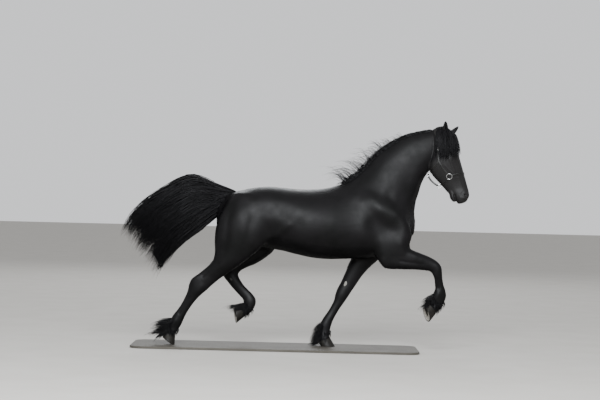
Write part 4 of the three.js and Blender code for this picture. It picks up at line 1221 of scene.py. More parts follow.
def tail_groups(rng, count, depth):
    """Clumps of the tail, from its core (depth 0) to its outer coat (depth 1)."""
    groups = []
    for i in range(count):
        high = (i % 37 + 0.5) / 37 + rng.uniform(-0.014, 0.014)
        across = (1 if i % 2 else -1) * rng.uniform(*depth)
        start = rng.uniform(-0.02, 0.4) if i % 4 else rng.uniform(-0.02, 0.06)
        end = min(1.0, start + rng.uniform(0.5, 0.72))
        if i % 2 == 0:
            end = rng.uniform(0.93, 1.0)
        swing = rng.uniform(0, TAU)
        droop = rng.uniform(0, 70) * max(0.0, 1 - 1.2 * high)
        cross = rng.uniform(-0.05, 0.05)
        points = []
        for share in np.linspace(0, 1, 7):
            ripple = math.sin(swing + 7 * share) * share
            inset = 0.55 + 0.45 * min(1, 4 * share)
            place = in_fan(
                start + (end - start) * share,
                np.clip(high + 0.03 * ripple + cross * share, 0, 1),
                across * inset * (1 - 0.35 * share * share),
            )
            drop = (-0.3 * droop * share**2, 0, -droop * share**2)
            points.append(place + (0, 12 * ripple, 8 * ripple) + np.array(drop))
        points[-1] = points[-1] + (points[-1] - points[-2]) * rng.uniform(-0.1, 0.45)
        if start < 0.07:
            points.insert(0, in_fan(0, high, 0.3 * across) + (58, 0, -34))
        facing = unit(np.array((0, math.copysign(1, across), 0.3 * (2 * high - 1))))
        groups.append(clump(
            rng, points, facing, room=(90, 30), locks=(14, 12), gather=rng.uniform(0.45, 0.85),
            wave=9.0, ends=(0.76, 1.0), wide=(4.5, 9), thick=(2.2, 3.8),
        ))
    return groups


def fringe_groups(rng, count):
    """Short hair hanging from the underside of the tail."""
    groups = []
    for i in range(count):
        t = 0.1 + 0.82 * i / count
        side = rng.uniform(-0.7, 0.7)
        root, edge = in_fan(t, 0.3, side), in_fan(min(t + 0.05, 1), 0.04, side)
        long = rng.uniform(50, 150) * (1 - 0.45 * t)
        tip = edge + (-rng.uniform(-0.1, 0.6) * long, rng.uniform(-20, 20), -0.7 * long)
        middle = (edge + tip) / 2 + (-8, 0, -4)
        groups.append(clump(
            rng, [root, edge, middle, tip], (0, 1, 0), room=(56, 30), locks=(9, 9), gather=0.6,
            wave=6.0, ends=(0.5, 1), wide=(3, 7), thick=(1.6, 3),
        ))
    return groups


def side_reach(tree):
    """How far to the left the surface lies at x, z."""

    def reach(x, z):
        hit = tree.ray_cast(Vector(lifted((x, 900, z))), Vector((0, -1, 0)))
        return hit[0].y / MM if hit[0] is not None else 0.0

    return reach


def mane_groups(rng, reach, count):
    """The mane, which falls to the left and swings back with the stride."""
    groups = []
    for i in range(count):
        t = 0.02 + 0.93 * (i + 0.5) / count
        root = on_crest(t)
        length = rng.uniform(400, 530) * (0.75 + 0.25 * math.sin(math.pi * t))
        angle = math.radians(19.4 + rng.uniform(-6, 6))
        swing = rng.uniform(0, TAU)
        lift = rng.uniform(5, 22)
        points = [root + (-3, -2, -27), root + (-4, 8, -19), root + (-4, 20, -10)]
        for share in np.linspace(0.2, 1, 5):
            ripple = math.sin(swing + 6.5 * share) * (0.3 + share)
            x = root[0] - math.sin(angle) * length * share**1.3 + 9 * ripple
            z = root[2] - math.cos(angle) * length * share + 6
            points.append((x, max(reach(x, z), 20) + lift + 12 * share + 5 * ripple, z))
        groups.append(clump(
            rng, points, (0, 0.55, 0.84), room=(62, 16), locks=(18, 12), gather=0.7, wave=4.0,
            ends=(0.7, 1.0), wide=(7, 12), thick=(2.5, 4),
        ))
    return groups


def wisp_groups(rng, count):
    """Wisps of the mane that stream back off the crest, longest at the withers."""
    groups = []
    for i in range(count):
        t = 0.02 + 0.62 * ((i + rng.uniform(0, 1)) / count) ** 1.4
        root = on_crest(t)
        long = (330 - 370 * t) * rng.uniform(0.4, 1.0)
        rise = rng.uniform(0.05, 0.62)
        tip = root + (-long * 0.93, rng.uniform(-14, 34), rise * long)
        middle = (root + tip) / 2 + (0, 6, 6 + 0.14 * long)
        points = [root + (14, 2, -24), root + (-6, 6, 0), middle, tip + (0, 0, -0.06 * long)]
        groups.append(clump(
            rng, points, (0.2, 0.95, 0.2), room=(44, 16), locks=(6, 10), gather=0.5, wave=7.0,
            ends=(0.5, 1.0), wide=(1.6, 3.4), thick=(1, 1.8),
        ))
    return groups


def crest_groups(rng, count):
    """Short hair along the crest, where the mane parts to the left."""
    groups = []
    for i in range(count):
        t = 0.01 + 0.985 * (i + rng.uniform(0, 1)) / count
        root = on_crest(t)
        long = rng.uniform(44, 88)
        lean = rng.uniform(-0.2, 0.5)
        points = [
            root + (18, -4, -26), root + (4, rng.uniform(-9, 8), -7),
            root + (-0.5 * long, lean * 26, 0), root + (-long, lean * 60, -0.42 * long),
        ]
        groups.append(clump(
            rng, points, (0, 0.5, 0.87), room=(30, 12), locks=(9, 10), gather=0.5, wave=3.0,
            ends=(0.6, 1.0), wide=(4, 7), thick=(1.5, 2.5),
        ))
    return groups


def head_trees():
    """The bare head without ears and neck, and the finished skin, for rays."""
    lids = [ball(eye_centre(sign), EYE["lid"]) for sign in SIDES.values()]
    points, faces = merged([head_loft(SKULL, (14, 18), 0), *lids])
    return BVHTree.FromPolygons(lifted(points).tolist(), faces), skin_tree()


def head_hit(trees, u, turn, rise=0.0):
    """The skin at u, turned in degrees from the forehead to the left, and the way outward."""
    bare, skin = trees
    skull = np.array(SKULL)
    face, jaw = np.interp(u, skull[:, 0], skull[:, 1]), np.interp(u, skull[:, 0], skull[:, 2])
    way = HEAD_TURN @ (0, math.cos(math.radians(turn)), math.sin(math.radians(turn)))
    centre = in_head((u, (face + jaw) / 2, 0))
    place, out = bare.ray_cast(Vector(lifted(centre + way * 300)), Vector(-way))[:2]
    hit = skin.ray_cast(place + Vector(way) * 0.014, Vector(-way))
    if hit[0] is not None and hit[3] < 0.028:
        place, out = hit[:2]
    return lowered(place) + way * rise, np.array(out)


# Fans of the forelock: turn round the head at the root and at the tip, in degrees, and where it ends
FORELOCK = [
    (-98, -128, 266), (-88, -119, 290), (-78, -110, 308), (-70, -101, 322), (-62, -92, 334),
    (-54, -82, 334), (-46, -71, 330), (-38, -60, 334), (-31, -50, 336), (-24, -39, 328),
    (-18, -28, 314), (-12, -18, 306), (-6, -8, 298), (0, 0, 284), (7, 10, 286), (14, 21, 290),
    (22, 33, 282), (30, 46, 262), (39, 58, 236), (50, 74, 206), (62, 88, 176),
]


def forelock_groups(rng, trees):
    """The forelock, which spreads from the poll over forehead, temples and eyes."""
    groups = []
    for start, to, end in FORELOCK * 4:
        swing = rng.uniform(0, TAU)
        end += rng.uniform(-34, 8)
        rise = rng.uniform(4, 12 + 12 * math.cos(math.radians(start)) ** 2)
        turn_in = start + rng.uniform(-5, 5)
        turn_out = to + rng.uniform(-6, 6)
        points = [head_hit(trees, 14, turn_in, -12)[0], head_hit(trees, 26, turn_in, 6)[0]]
        for share in np.linspace(0.25, 1, 5):
            ripple = math.sin(swing + 6 * share)
            turn = turn_in + (turn_out - turn_in) * share + 2 * ripple
            points.append(head_hit(trees, 26 + (end - 26) * share, turn, rise + 2 * ripple)[0])
        _, facing = head_hit(trees, 150, (turn_in + turn_out) / 2)
        groups.append(clump(
            rng, points, facing, room=(30, 7), locks=(16, 12), gather=0.45, wave=3.0,
            ends=(0.72, 1.0), wide=(3.5, 6), thick=(1.4, 2.4),
        ))
    return groups


def stands(name):
    """Whether that foot is on the ground."""
    return FEET[name]["toe"][2] < 1


def limb_place(name, row, turn):
    """A place on a limb at a row, turned round from its front edge, and the way outward."""
    rows = np.array(limb_rows(name))
    i = min(int(row), len(rows) - 2)
    r = rows[i] + (rows[i + 1] - rows[i]) * (row - i)
    a, b = r[:3], r[3:6]
    middle = (a + b) / 2
    along, out = math.cos(turn), math.sin(turn)
    place = middle + ((a if along > 0 else b) - middle) * abs(along) + (0, r[6] * out, 0)
    return place, unit(place - middle)


def feather_groups(rng, name, count):
    """Long hair behind the fetlock, hair round the coronet and, on a standing foot, to the heel."""
    dx, dz = FEET[name]["feather"]
    long = math.hypot(dx, dz)
    reach = np.array((dx, 0, dz)) / long
    groups = []
    for i in range(count):
        streams = i % 2 == 0
        heel = stands(name) and i % 4 == 1
        if streams:
            row = 15.6 + 3.1 * rng.uniform(0, 1)
            turn = math.pi + rng.uniform(-1.15, 1.15)
        elif heel:
            row = 17.2 + 1.7 * rng.uniform(0, 1)
            turn = math.pi + rng.uniform(-0.9, 0.9)
        else:
            row = 16.8 + 2.0 * rng.uniform(0, 1)
            turn = rng.uniform(0, TAU)
        root, way = limb_place(name, row, turn)
        down = unit(root - limb_place(name, row - 1.2, turn)[0])
        if streams:
            share = max(0.0, -math.cos(turn)) ** 0.8
            course = reach * share + down * (1 - share) + way * 0.14
            far = (70 + (long - 70) * share) * rng.uniform(0.72, 1.05)
            sag = 12
        elif heel:
            course = way * 0.35 + (-0.55, 0, -0.8)
            far = rng.uniform(80, 135)
            sag = 6
        else:
            course = down + way * 0.24 + (0, 0, -0.25)
            far = rng.uniform(52, 84) * (0.78 - 0.22 * math.cos(turn))
            sag = 6
        course = unit(course)
        tip = root + course * far + (0, 0, -sag)
        middle = root + (course * 0.5 + way * 0.12) * far
        points = np.array([root - way * 15, root + way * 1 + course * 6, middle, tip])
        if stands(name):
            points[:, 2] = np.maximum(points[:, 2], [8, 8, 7, 5])
        facing = unit(np.cross(course, (0, 1, 0)) * 0.2 + way)
        groups.append(clump(
            rng, points, facing, room=(28, 9), locks=(9, 10), gather=0.45, wave=4.0,
            ends=(0.6, 1.0), wide=(2.6, 4.6), thick=(1.3, 2),
        ))
        if stands(name):
            guides = groups[-1][0]
            guides[:, :, 2] = np.maximum(guides[:, :, 2], 4)
    return groups


# Round rods, straps and small shells
def frames_along(points, outs, closed):
    """The ways across and out at each point of a path that lies on a surface."""
    if closed:
        along = np.roll(points, -1, 0) - np.roll(points, 1, 0)
    else:
        along = np.gradient(points, axis=0)
    along = unit(along)
    across = unit(np.cross(along, outs))
    return across, np.cross(across, along)


STRAP_SECTION = [
    (-0.5, 0.2), (-0.44, 0.0), (0.44, 0.0), (0.5, 0.2), (0.5, 0.8), (0.42, 1.0), (0.0, 1.08),
    (-0.42, 1.0), (-0.5, 0.8),
]
ROUND_SECTION = [(0.5 * math.cos(TAU * k / 10), 0.5 * math.sin(TAU * k / 10)) for k in range(10)]


def swept(points, outs, wide, thick, profile, closed=False):
    """A closed shell swept along a path, its width flat to the surface."""
    points, outs = np.asarray(points, float), np.asarray(outs, float)
    across, out = frames_along(points, outs, closed)
    shape = np.array(profile) * (wide, thick)
    rings = (
        points[:, None]
        + across[:, None] * shape[None, :, :1]
        + out[:, None] * shape[None, :, 1:]
    )
    if not closed:
        return skinned(rings, rings[0].mean(0), rings[-1].mean(0))
    steps, count = rings.shape[:2]
    i = np.arange(count)
    j = (i + 1) % count
    base = np.arange(steps)[:, None] * count
    ahead = (base + count) % (steps * count)
    quads = np.stack([base + i, base + j, ahead + j, ahead + i], -1)
    return rings.reshape(-1, 3), quads.reshape(-1, 4).tolist()


def hoop(centre, axis, radius, rod):
    """A round ring."""
    axis = unit(np.asarray(axis, float))
    first = unit(np.cross(axis, (0.3, 0.1, 0.9)))
    second = np.cross(axis, first)
    turn = TAU * np.arange(40) / 40
    outs = np.cos(turn)[:, None] * first + np.sin(turn)[:, None] * second
    return swept(centre + outs * radius, outs, rod, rod, ROUND_SECTION, True)


def frame_of_rod(centre, along, across, long, wide, rod):
    """A rounded rectangular frame, as on a buckle."""
    corner = rod * 1.3
    points, outs = [], []
    normal = np.cross(along, across)
    for x, y, start in ((1, 1, 0), (-1, 1, 90), (-1, -1, 180), (1, -1, 270)):
        middle = centre + along * x * (long / 2 - corner) + across * y * (wide / 2 - corner)
        for degrees in (start + 10, start + 45, start + 80):
            turn = math.radians(degrees)
            way = along * math.cos(turn) + across * math.sin(turn)
            points.append(middle + way * corner)
            outs.append(normal)
    return swept(points, outs, rod, rod, ROUND_SECTION, True)


# Halter, as places u, v in the side view of the head
HALTER = {
    "ring": (444, -26), "joint": (296, -84), "buckle": (184, -60), "crown": (10, -44),
}
STRAP_WIDE, THROAT_WIDE = 19, 15
# How far a strap lies off the skin, where it ends before a ring, and how thick the loose end is
STRAP_RISE = 0.9
RING_ROOM = 20
END_THICK = 3.4


def turn_at(trees, place):
    """How far round from the forehead the surface has that v."""
    low, high = 0.0, 180.0
    for _ in range(14):
        middle = (low + high) / 2
        point, _ = head_hit(trees, place[0], middle)
        if from_head(point)[1] > place[1]:
            low = middle
        else:
            high = middle
    return (low + high) / 2


def strap_line(trees, places):
    """Points and ways outward along the skin through (u, turn) places."""
    line = catmull([(u, turn, 0) for u, turn in places], 44)
    hits = [head_hit(trees, u, turn) for u, turn, _ in line]
    points = np.array([h[0] for h in hits])
    outs = np.array([h[1] for h in hits])
    for _ in range(10):
        outs[1:-1] = (outs[:-2] + outs[1:-1] * 2 + outs[2:]) / 4
    for _ in range(3):
        points[1:-1] = (points[:-2] + points[1:-1] * 2 + points[2:]) / 4
    outs = unit(outs)
    return points + outs * STRAP_RISE, outs


def halter_lines(trees):
    """Every strap of the halter as a line on the skin with its width."""
    turns = {key: turn_at(trees, place) for key, place in HALTER.items()}
    at = {key: (HALTER[key][0], turns[key]) for key in HALTER}

    def mirrored(places):
        return places + [(u, -turn) for u, turn in reversed(places)]

    lines = {
        "nose": (mirrored([at["ring"], (444, 40)]), STRAP_WIDE),
        "chin": (
            [at["ring"], (468, 120), (490, 158), (496, 180), (490, 202), (468, 240),
             (444, 360 - turns["ring"])], STRAP_WIDE),
        "crown": (mirrored([at["buckle"], (90, turns["buckle"] - 4), at["crown"], (4, 40)]),
                  STRAP_WIDE),
        "throat": (
            [at["joint"], (326, 134), (352, 158), (362, 180), (352, 202), (326, 226),
             (296, 360 - turns["joint"])], THROAT_WIDE),
    }
    for side, sign in SIDES.items():
        cheek = [at["ring"], at["joint"], at["buckle"]]
        lines[f"cheek_{side}"] = ([(u, sign * turn) for u, turn in cheek], STRAP_WIDE)
    rings = [head_hit(trees, at["ring"][0], sign * turns["ring"])[0] for sign in (-1, 1)]
    made = {}
    for key, (places, wide) in lines.items():
        line, outs = strap_line(trees, places)
        clear = np.min([np.linalg.norm(line - ring, axis=1) for ring in rings], 0) > RING_ROOM
        made[key] = (line[clear], outs[clear], wide)
    return made


def strap_end_line():
    """The loose end of the throat strap, hanging forward."""
    points = [(372, -200, 4), (398, -203, 4), (440, -187, 3), (478, -160, 1), (492, -143, 0)]
    line = catmull(in_head(points), 20)
    return line, np.tile(HEAD_TURN @ (0, 0, -1), (20, 1))


def metal_shells(trees):
    """Rings, buckles and the snap of the halter, each under the name of its solid."""
    turns = {key: turn_at(trees, HALTER[key]) for key in ("ring", "buckle")}
    shells = {}
    for side, sign in SIDES.items():
        point, out = head_hit(trees, HALTER["ring"][0], sign * turns["ring"])
        shells[f"halter_ring_{side}"] = [hoop(point + out * 8.5, out, 24, 5.6)]
        point, out = head_hit(trees, HALTER["buckle"][0], sign * turns["buckle"])
        ahead, _ = head_hit(trees, HALTER["buckle"][0] - 16, sign * turns["buckle"])
        along = ahead - point
        along = unit(along - out * along.dot(out))
        across = np.cross(out, along)
        centre = point + out * 6.4
        pin = [centre - along * 16, centre + along * 2 + out * 2.4, centre + along * 17]
        shells[f"halter_buckle_{side}"] = [
            frame_of_rod(centre, along, across, 34, 31, 4.4),
            swept([centre - across * 13, centre, centre + across * 13],
                  [out] * 3, 3.6, 3.6, ROUND_SECTION),
            swept(pin, [out] * 3, 3.2, 3.2, ROUND_SECTION),
        ]
    side_way = HEAD_TURN @ (0, 0, 1)
    shells["halter_chin_ring"] = [hoop(in_head((499, -131, 0)), side_way, 15, 5.2)]
    shells["halter_snap"] = [
        hoop(in_head((378, -200, 0)), side_way, 10, 4),
        swept(in_head([(370, -196, 4), (392, -210, 0), (404, -214, 0)]),
              [side_way] * 3, 8, 6, ROUND_SECTION),
    ]
    return shells


def geometry_tree(name, **sizes):
    """A tree of nodes from mesh to mesh, and its inputs: lengths, and a seed where it has one."""
    tree = bpy.data.node_groups.new(name, "GeometryNodeTree")
    for way in ("INPUT", "OUTPUT"):
        tree.interface.new_socket("Geometry", in_out=way, socket_type="NodeSocketGeometry")
    for key, value in sizes.items():
        kind = "NodeSocketInt" if key == "Seed" else "NodeSocketFloat"
        socket = tree.interface.new_socket(key, in_out="INPUT", socket_type=kind)
        socket.default_value = value
    return tree, add_node(tree, "NodeGroupInput")


def ended(tree, geometry, material):
    """Gives what the tree made its material, and passes it out."""
    done = add_node(
        tree, "GeometryNodeSetMaterial", None, Geometry=geometry, Material=material
    )
    add_node(tree, "NodeGroupOutput", None, Geometry=done.outputs[0])
    return tree


def stitch_tree(material):
    """Stitches along a line of edges: short rounded threads at an even spacing."""
    tree, given = geometry_tree("stitches", Spacing=0.0052, Length=0.0036, Thread=0.0009)
    line = add_node(tree, "GeometryNodeMeshToCurve", None, Mesh=given.outputs["Geometry"])
    points = add_node(
        tree, "GeometryNodeCurveToPoints", {"mode": "LENGTH"}, Curve=line.outputs[0],
        Length=given.outputs["Spacing"],
    )
    thread = add_node(
        tree, "GeometryNodeMeshCylinder", {"fill_type": "NGON"}, Vertices=6,
        Radius=given.outputs["Thread"], Depth=given.outputs["Length"],
    )
    placed = add_node(
        tree, "GeometryNodeInstanceOnPoints", None, Points=points.outputs["Points"],
        Instance=thread.outputs["Mesh"], Rotation=points.outputs["Rotation"],
    )
    real = add_node(tree, "GeometryNodeRealizeInstances", None, Geometry=placed.outputs[0])
    return ended(tree, real.outputs[0], material)


def tuft_tree(material):
    """Short pointed tufts scattered on a skin, each lying along the coat."""
    tree, given = geometry_tree("coat_tufts", Length=0.015, Width=0.0022, Density=9000.0, Seed=0)

    def named(name, kind):
        settings = {"data_type": kind}
        return add_node(tree, "GeometryNodeInputNamedAttribute", settings, Name=name).outputs[0]

    amount = add_node(
        tree, "ShaderNodeMath", {"operation": "MULTIPLY"}, i0=named("tufts", "FLOAT"),
        i1=given.outputs["Density"],
    )
    spread = add_node(
        tree, "GeometryNodeDistributePointsOnFaces", None, Mesh=given.outputs["Geometry"],
        Density=amount.outputs[0], Seed=given.outputs["Seed"],
    )
    cone = add_node(
        tree, "GeometryNodeMeshCone", {"fill_type": "NGON"}, Vertices=3,
        Radius_Bottom=given.outputs["Width"], Depth=given.outputs["Length"],
    )
    lean = add_node(
        tree, "GeometryNodeTransform", None, Geometry=cone.outputs["Mesh"],
        Rotation=(0, math.radians(78), 0),
    )
    place = add_node(tree, "GeometryNodeInputPosition")
    scale = add_node(
        tree, "ShaderNodeVectorMath", {"operation": "SCALE"}, i0=place.outputs[0], Scale=0.2
    )
    patch = add_node(
        tree, "GeometryNodeStoreNamedAttribute", {"data_type": "FLOAT_VECTOR"},
        Geometry=lean.outputs[0], Name="patch", Value=scale.outputs[0],
    )
    upright = add_node(
        tree, "FunctionNodeAlignRotationToVector", {"axis": "Z"}, Vector=spread.outputs["Normal"]
    )
    turned = add_node(
        tree, "FunctionNodeAlignRotationToVector", {"axis": "X", "pivot_axis": "Z"},
        Rotation=upright.outputs[0], Vector=named("lie", "FLOAT_VECTOR"),
    )
    size = add_node(
        tree, "FunctionNodeRandomValue", {"data_type": "FLOAT"}, i2=0.55, i3=1.3,
        Seed=given.outputs["Seed"],
    )
    scaled = add_node(
        tree, "ShaderNodeMath", {"operation": "MULTIPLY"}, i0=size.outputs[1],
        i1=named("tuft_length", "FLOAT"),
    )
    placed = add_node(
        tree, "GeometryNodeInstanceOnPoints", None, Points=spread.outputs["Points"],
        Instance=patch.outputs[0], Rotation=turned.outputs[0], Scale=scaled.outputs[0],
    )
    real = add_node(tree, "GeometryNodeRealizeInstances", None, Geometry=placed.outputs[0])
    flat = add_node(
        tree, "ShaderNodeVectorMath", {"operation": "ADD"}, i0=named("unwrap", "FLOAT_VECTOR"),
        i1=named("patch", "FLOAT_VECTOR"),
    )
    bake = add_node(
        tree, "GeometryNodeStoreNamedAttribute", {"data_type": "FLOAT2", "domain": "CORNER"},
        Geometry=real.outputs[0], Name="OFBake", Value=flat.outputs[0],
    )
    return ended(tree, bake.outputs[0], material)


def grown(obj, tree, **values):
    """Applies a geometry tree with its inputs, set by their sockets' identifiers."""
    modifier = obj.modifiers.new(tree.name, "NODES")
    modifier.node_group = tree
    for item in tree.interface.items_tree:
        if item.in_out == "INPUT" and item.name in values:
            modifier[item.identifier] = values[item.name]
    return applied(obj)


def set_attribute(mesh, name, kind, values):
    layer = mesh.attributes.new(name, kind, "POINT")
    key = "value" if kind == "FLOAT" else "vector"
    layer.data.foreach_set(key, np.asarray(values, np.float32).ravel())


def tuft_places(skin):
    """Where the coat breaks the form, and how long its tufts are there."""
    points = lowered(coords(skin))
    facing = normals(skin)
    head = from_head(points)
    on_head = (head[:, 0] > -20) & (head[:, 1] > -215) & (points[:, 0] > 1240)
    low = points[:, 2] < 700
    amount = np.zeros(len(points))
    length = np.where(on_head | low, 0.5, 1.0)
    amount[(facing[:, 2] < -0.55) & ~on_head & ~low] = 0.5
    amount[(facing[:, 2] < -0.8) & ~on_head & ~low] = 1.0
    amount[(facing[:, 0] < -0.75) & ~on_head] = 0.7
    chest = (facing[:, 0] > 0.8) & (points[:, 2] < 1300) & (points[:, 2] > 900) & ~on_head
    amount[chest] = 0.6
    amount[on_head & (facing @ HEAD_TURN[:, 1] < -0.5) & (head[:, 0] > 120)] = 1.0
    length[on_head & (head[:, 0] > 560)] = 0.3
    ears = (head[:, 0] < 90) & (head[:, 1] > 44) & on_head
    amount[ears] = 1.0
    length[ears] = 0.55
    return amount, length


def coat_attributes(skin):
    """Stores on the skin where the coat lies, its place on the unwrap, and where tufts stand."""
    points = lowered(coords(skin))
    flat, lie = unwrap(points)
    mesh = skin.data
    set_attribute(mesh, "unwrap", "FLOAT_VECTOR", np.column_stack([flat, np.zeros(len(flat))]))
    set_attribute(mesh, "lie", "FLOAT_VECTOR", lie + (0, 0, -0.2))
    amount, length = tuft_places(skin)
    set_attribute(mesh, "tufts", "FLOAT", amount)
    set_attribute(mesh, "tuft_length", "FLOAT", length)
    head = from_head(points)
    # Mask of the face below the forelock, whose coat is painted lighter: partly dust, partly a painted
    # sheen
    face = np.clip((head[:, 0] - 262) / 40, 0, 1) * np.clip((head[:, 1] + 230) / 40, 0, 1)
    set_attribute(mesh, "face", "FLOAT", face * (points[:, 0] > 1300) * (points[:, 2] > 1200))


# Feet and eyes
def hoof_shells(name):
    """The hoof: flared wall, bearing rim, hollow sole, and the frog as its own shell."""
    foot, sign = FEET[name], SIDES[name.split("_")[1]]
    rows = np.array([hoof_row(foot, sign, row) for row in HOOF])
    rings = section(hermite_rows(rows, 9), HOOF_SIDES)
    rim, middle, coronet = rings[0], rings[0].mean(0), rings[-1].mean(0)
    up = unit(coronet - middle)
    inner = [
        middle + (rim - middle) * size + up * rise
        for size, rise in ((0.3, 13), (0.62, 12), (0.82, 5), (0.87, 0.3))
    ]
    top = rings[-1] + up * 2
    shell = skinned(np.concatenate([inner, rings, [top]]), middle + up * 13, top.mean(0))
    frame_way = hoof_matrix(foot, sign)
    frog = []
    for x, half, rise in ((-51, 25, 6), (-32, 20, 10), (-8, 12, 9), (20, 3, 5)):
        ring = [
            (x, half * math.sin(a), rise * math.cos(a) + 10 - 3 * math.cos(2 * a))
            for a in TAU * np.arange(16) / 16
        ]
        frog.append([np.array(frame_way @ Vector(p)) for p in ring])
    frog = np.array(frog)
    twist = np.array(Matrix.Rotation(math.radians(foot["twist"]), 3, "Z")).T
    shells = (shell, skinned(frog, frog[0].mean(0), frog[-1].mean(0)))
    return [((points - coronet) @ twist + coronet, faces) for points, faces in shells]


def hoof_object(name, materials):
    """A hoof; the faces within its rim, which come first, are sole."""
    hoof = mesh_object(name.replace("leg_", "hoof_"), hoof_shells(name))
    if stands(name):
        co = coords(hoof)
        co[:, 2] = np.maximum(co[:, 2], SOLE_HEIGHT * MM)
        set_coords(hoof, co)
    pale = np.zeros(len(hoof.data.polygons))
    pale[: 4 * HOOF_SIDES] = 1
    dressed(hoof, "hoof", *materials)
    set_finishes(hoof, pale)
    shade_smooth(hoof, 40)
    return hoof


def eye_object(side, materials):
    """The eyeball with its long pupil, turned outward."""
    sign = SIDES[side]
    centre = eye_centre(sign)
    gaze = unit(HEAD_TURN @ np.array((0.18, 0.22, sign * 1.0)))
    lean = math.radians(EYE["lean"])
    level = HEAD_TURN @ np.array((math.cos(lean), math.sin(lean), 0.0))
    across = unit(np.cross(gaze, level))
    level = np.cross(across, gaze)
    tilts = np.radians([4, 10, 16, 24, 32, 38, 46, 58, 72, 90, 110, 135, 160])
    around = TAU * np.arange(32) / 32
    rings = []
    for tilt in tilts:
        ring = (
            np.cos(around)[:, None] * level + np.sin(around)[:, None] * across
        ) * math.sin(tilt) + gaze * math.cos(tilt)
        swell = 1 + 0.05 * max(0.0, math.cos(tilt) - 0.75) * 4
        rings.append(centre + ring * EYE["ball"] * 0.985 * swell)
    front = centre + gaze * EYE["ball"] * 1.03
    eye = mesh_object(f"eyeball_{side}", [skinned(np.array(rings), front, centre - gaze * 20)])
    dressed(eye, "eye", *materials)
    index = np.zeros(len(eye.data.polygons))
    off = lowered([p.center for p in eye.data.polygons]) - centre
    long, high = off @ level, off @ across
    front_half = off @ gaze > 0
    index[front_half & ((long / 14.5) ** 2 + (high / 13.5) ** 2 < 1)] = 1
    index[front_half & ((long / 9.0) ** 2 + (high / 5.0) ** 2 < 1)] = 2
    set_finishes(eye, index)
    shade_smooth(eye)
    return eye


def leaned(part, long, high):
    """Places u, v from how far along and how high above the line on which the part leans."""
    lean = math.radians(part["lean"])
    u = part["u"] + long * math.cos(lean) - high * math.sin(lean)
    return u, part["v"] + long * math.sin(lean) + high * math.cos(lean)


def opening_cutters():
    """Shells that open the lids and the nostrils."""
    turn = TAU * np.arange(28) / 28
    long, high = EYE["open"][0] * np.cos(turn), EYE["open"][1] * np.sin(turn)
    lids = leaned(EYE, long, high * (0.75 + 0.25 * np.abs(np.sin(turn))))
    openings = [[(*lids, w) for w in (91, 100, 112, 135)], []]
    for w, size in ((-16, 0.45), (-9, 0.8), (0, 1.0), (30, 1.15)):
        long = NOSTRIL["long"] * 0.82 * size * np.cos(turn)
        high = NOSTRIL["high"] * 0.72 * size * np.sin(turn) - 0.012 * long**2 + 3
        openings[1].append((*leaned(NOSTRIL, long, high), NOSTRIL["w"] + w))
    shells = []
    for sign in SIDES.values():
        for opening in openings:
            rings = np.array([
                in_head(np.stack([u, v, np.full(len(turn), sign * w)], 1)) for u, v, w in opening
            ])
            shells.append(skinned(rings, rings[0].mean(0), rings[-1].mean(0)))
    return shells


def opened(skin):
    """Cuts the lids and nostrils into the skin."""
    cutter = mesh_object("openings", opening_cutters())
    modifier = skin.modifiers.new("openings", "BOOLEAN")
    modifier.operation = "DIFFERENCE"
    modifier.object = cutter
    modifier.solver = "EXACT"
    applied(skin)
    removed(cutter)
    return skin


def chestnut_shell(name, row, turn, long, wide):
    """A horny callus on the inner side of a leg."""
    place, way = limb_place(name, row, turn)
    down = limb_place(name, row + 1, turn)[0] - place
    down = unit(down - way * down.dot(way))
    across = np.cross(way, down)
    rings = []
    for share, rise in ((1.0, -3), (0.96, 1), (0.8, 3), (0.45, 4.4)):
        ring = []
        for a in TAU * np.arange(18) / 18:
            knob = 1 + 0.1 * math.sin(3 * a + row)
            ring.append(
                place + way * rise
                + down * long / 2 * share * knob * math.cos(a)
                + across * wide / 2 * share * knob * math.sin(a)
            )
        rings.append(ring)
    return skinned(np.array(rings), place - way * 3, place + way * 4.8)


# Sizes and colours that a user would change
class HorseSizes(bpy.types.PropertyGroup):
    lock_width: FloatProperty(
        name="Lock width", description="Width of a lock of mane or tail against the usual one",
        default=1.0, min=0.5, max=2.0, subtype="FACTOR",
    )
    tuft_length: FloatProperty(
        name="Tuft length", description="Length of the coat's tufts on the body",
        default=0.017, min=0.004, max=0.04, unit="LENGTH",
    )
    tuft_width: FloatProperty(
        name="Tuft width", description="Half width of a coat tuft at its root",
        default=0.0011, min=0.0005, max=0.005, unit="LENGTH",
    )
    tuft_density: FloatProperty(
        name="Tuft density", description="Most tufts on a square metre of skin",
        default=26000.0, min=0.0, max=60000.0,
    )
    strap_thickness: FloatProperty(
        name="Strap thickness", description="Thickness of the halter's leather",
        default=0.0036, min=0.002, max=0.006, unit="LENGTH",
    )
    stitch_spacing: FloatProperty(
        name="Stitch spacing", description="From one stitch of the halter to the next",
        default=0.0055, min=0.003, max=0.012, unit="LENGTH",
    )


def colour_property(name, description, value):
    return FloatVectorProperty(
        name=name, description=description, default=linear(value)[:3], subtype="COLOR", size=3,
        min=0.0, max=1.0,
    )


class HorseColours(bpy.types.PropertyGroup):
    coat: colour_property("Coat", "Coat where it is darkest", "#080808")
    coat_lit: colour_property("Coat, lighter", "Coat where it is lightest", "#0e0d0e")
    # The face's colour is lighter than the coat: partly dust, partly a painted sheen on the face below
    # the forelock
    face: colour_property("Face", "Thin coat of the face below the forelock", "#191818")
    hair: colour_property("Hair", "Mane, tail and feather", "#060607")
    hair_lit: colour_property("Hair, lighter", "Lighter strands of mane, tail and feather", "#0e0d0f")
    hoof: colour_property("Hoof", "Wall of the hooves", "#12110f")
    sole: colour_property("Sole", "Underside of the hooves", "#8f8b84")
    leather: colour_property("Leather", "Halter straps", "#0a0a0a")
    metal: colour_property("Metal", "Rings and buckles", "#b9babb")
    base: colour_property("Base", "Base plate", "#4c4943")


# Pieces
def skin_tree():
    """The finished skin, for pieces that lie on it."""
    skin = bpy.data.objects["horse_skin"]
    return BVHTree.FromPolygons(coords(skin).tolist(), [p.vertices for p in skin.data.polygons])


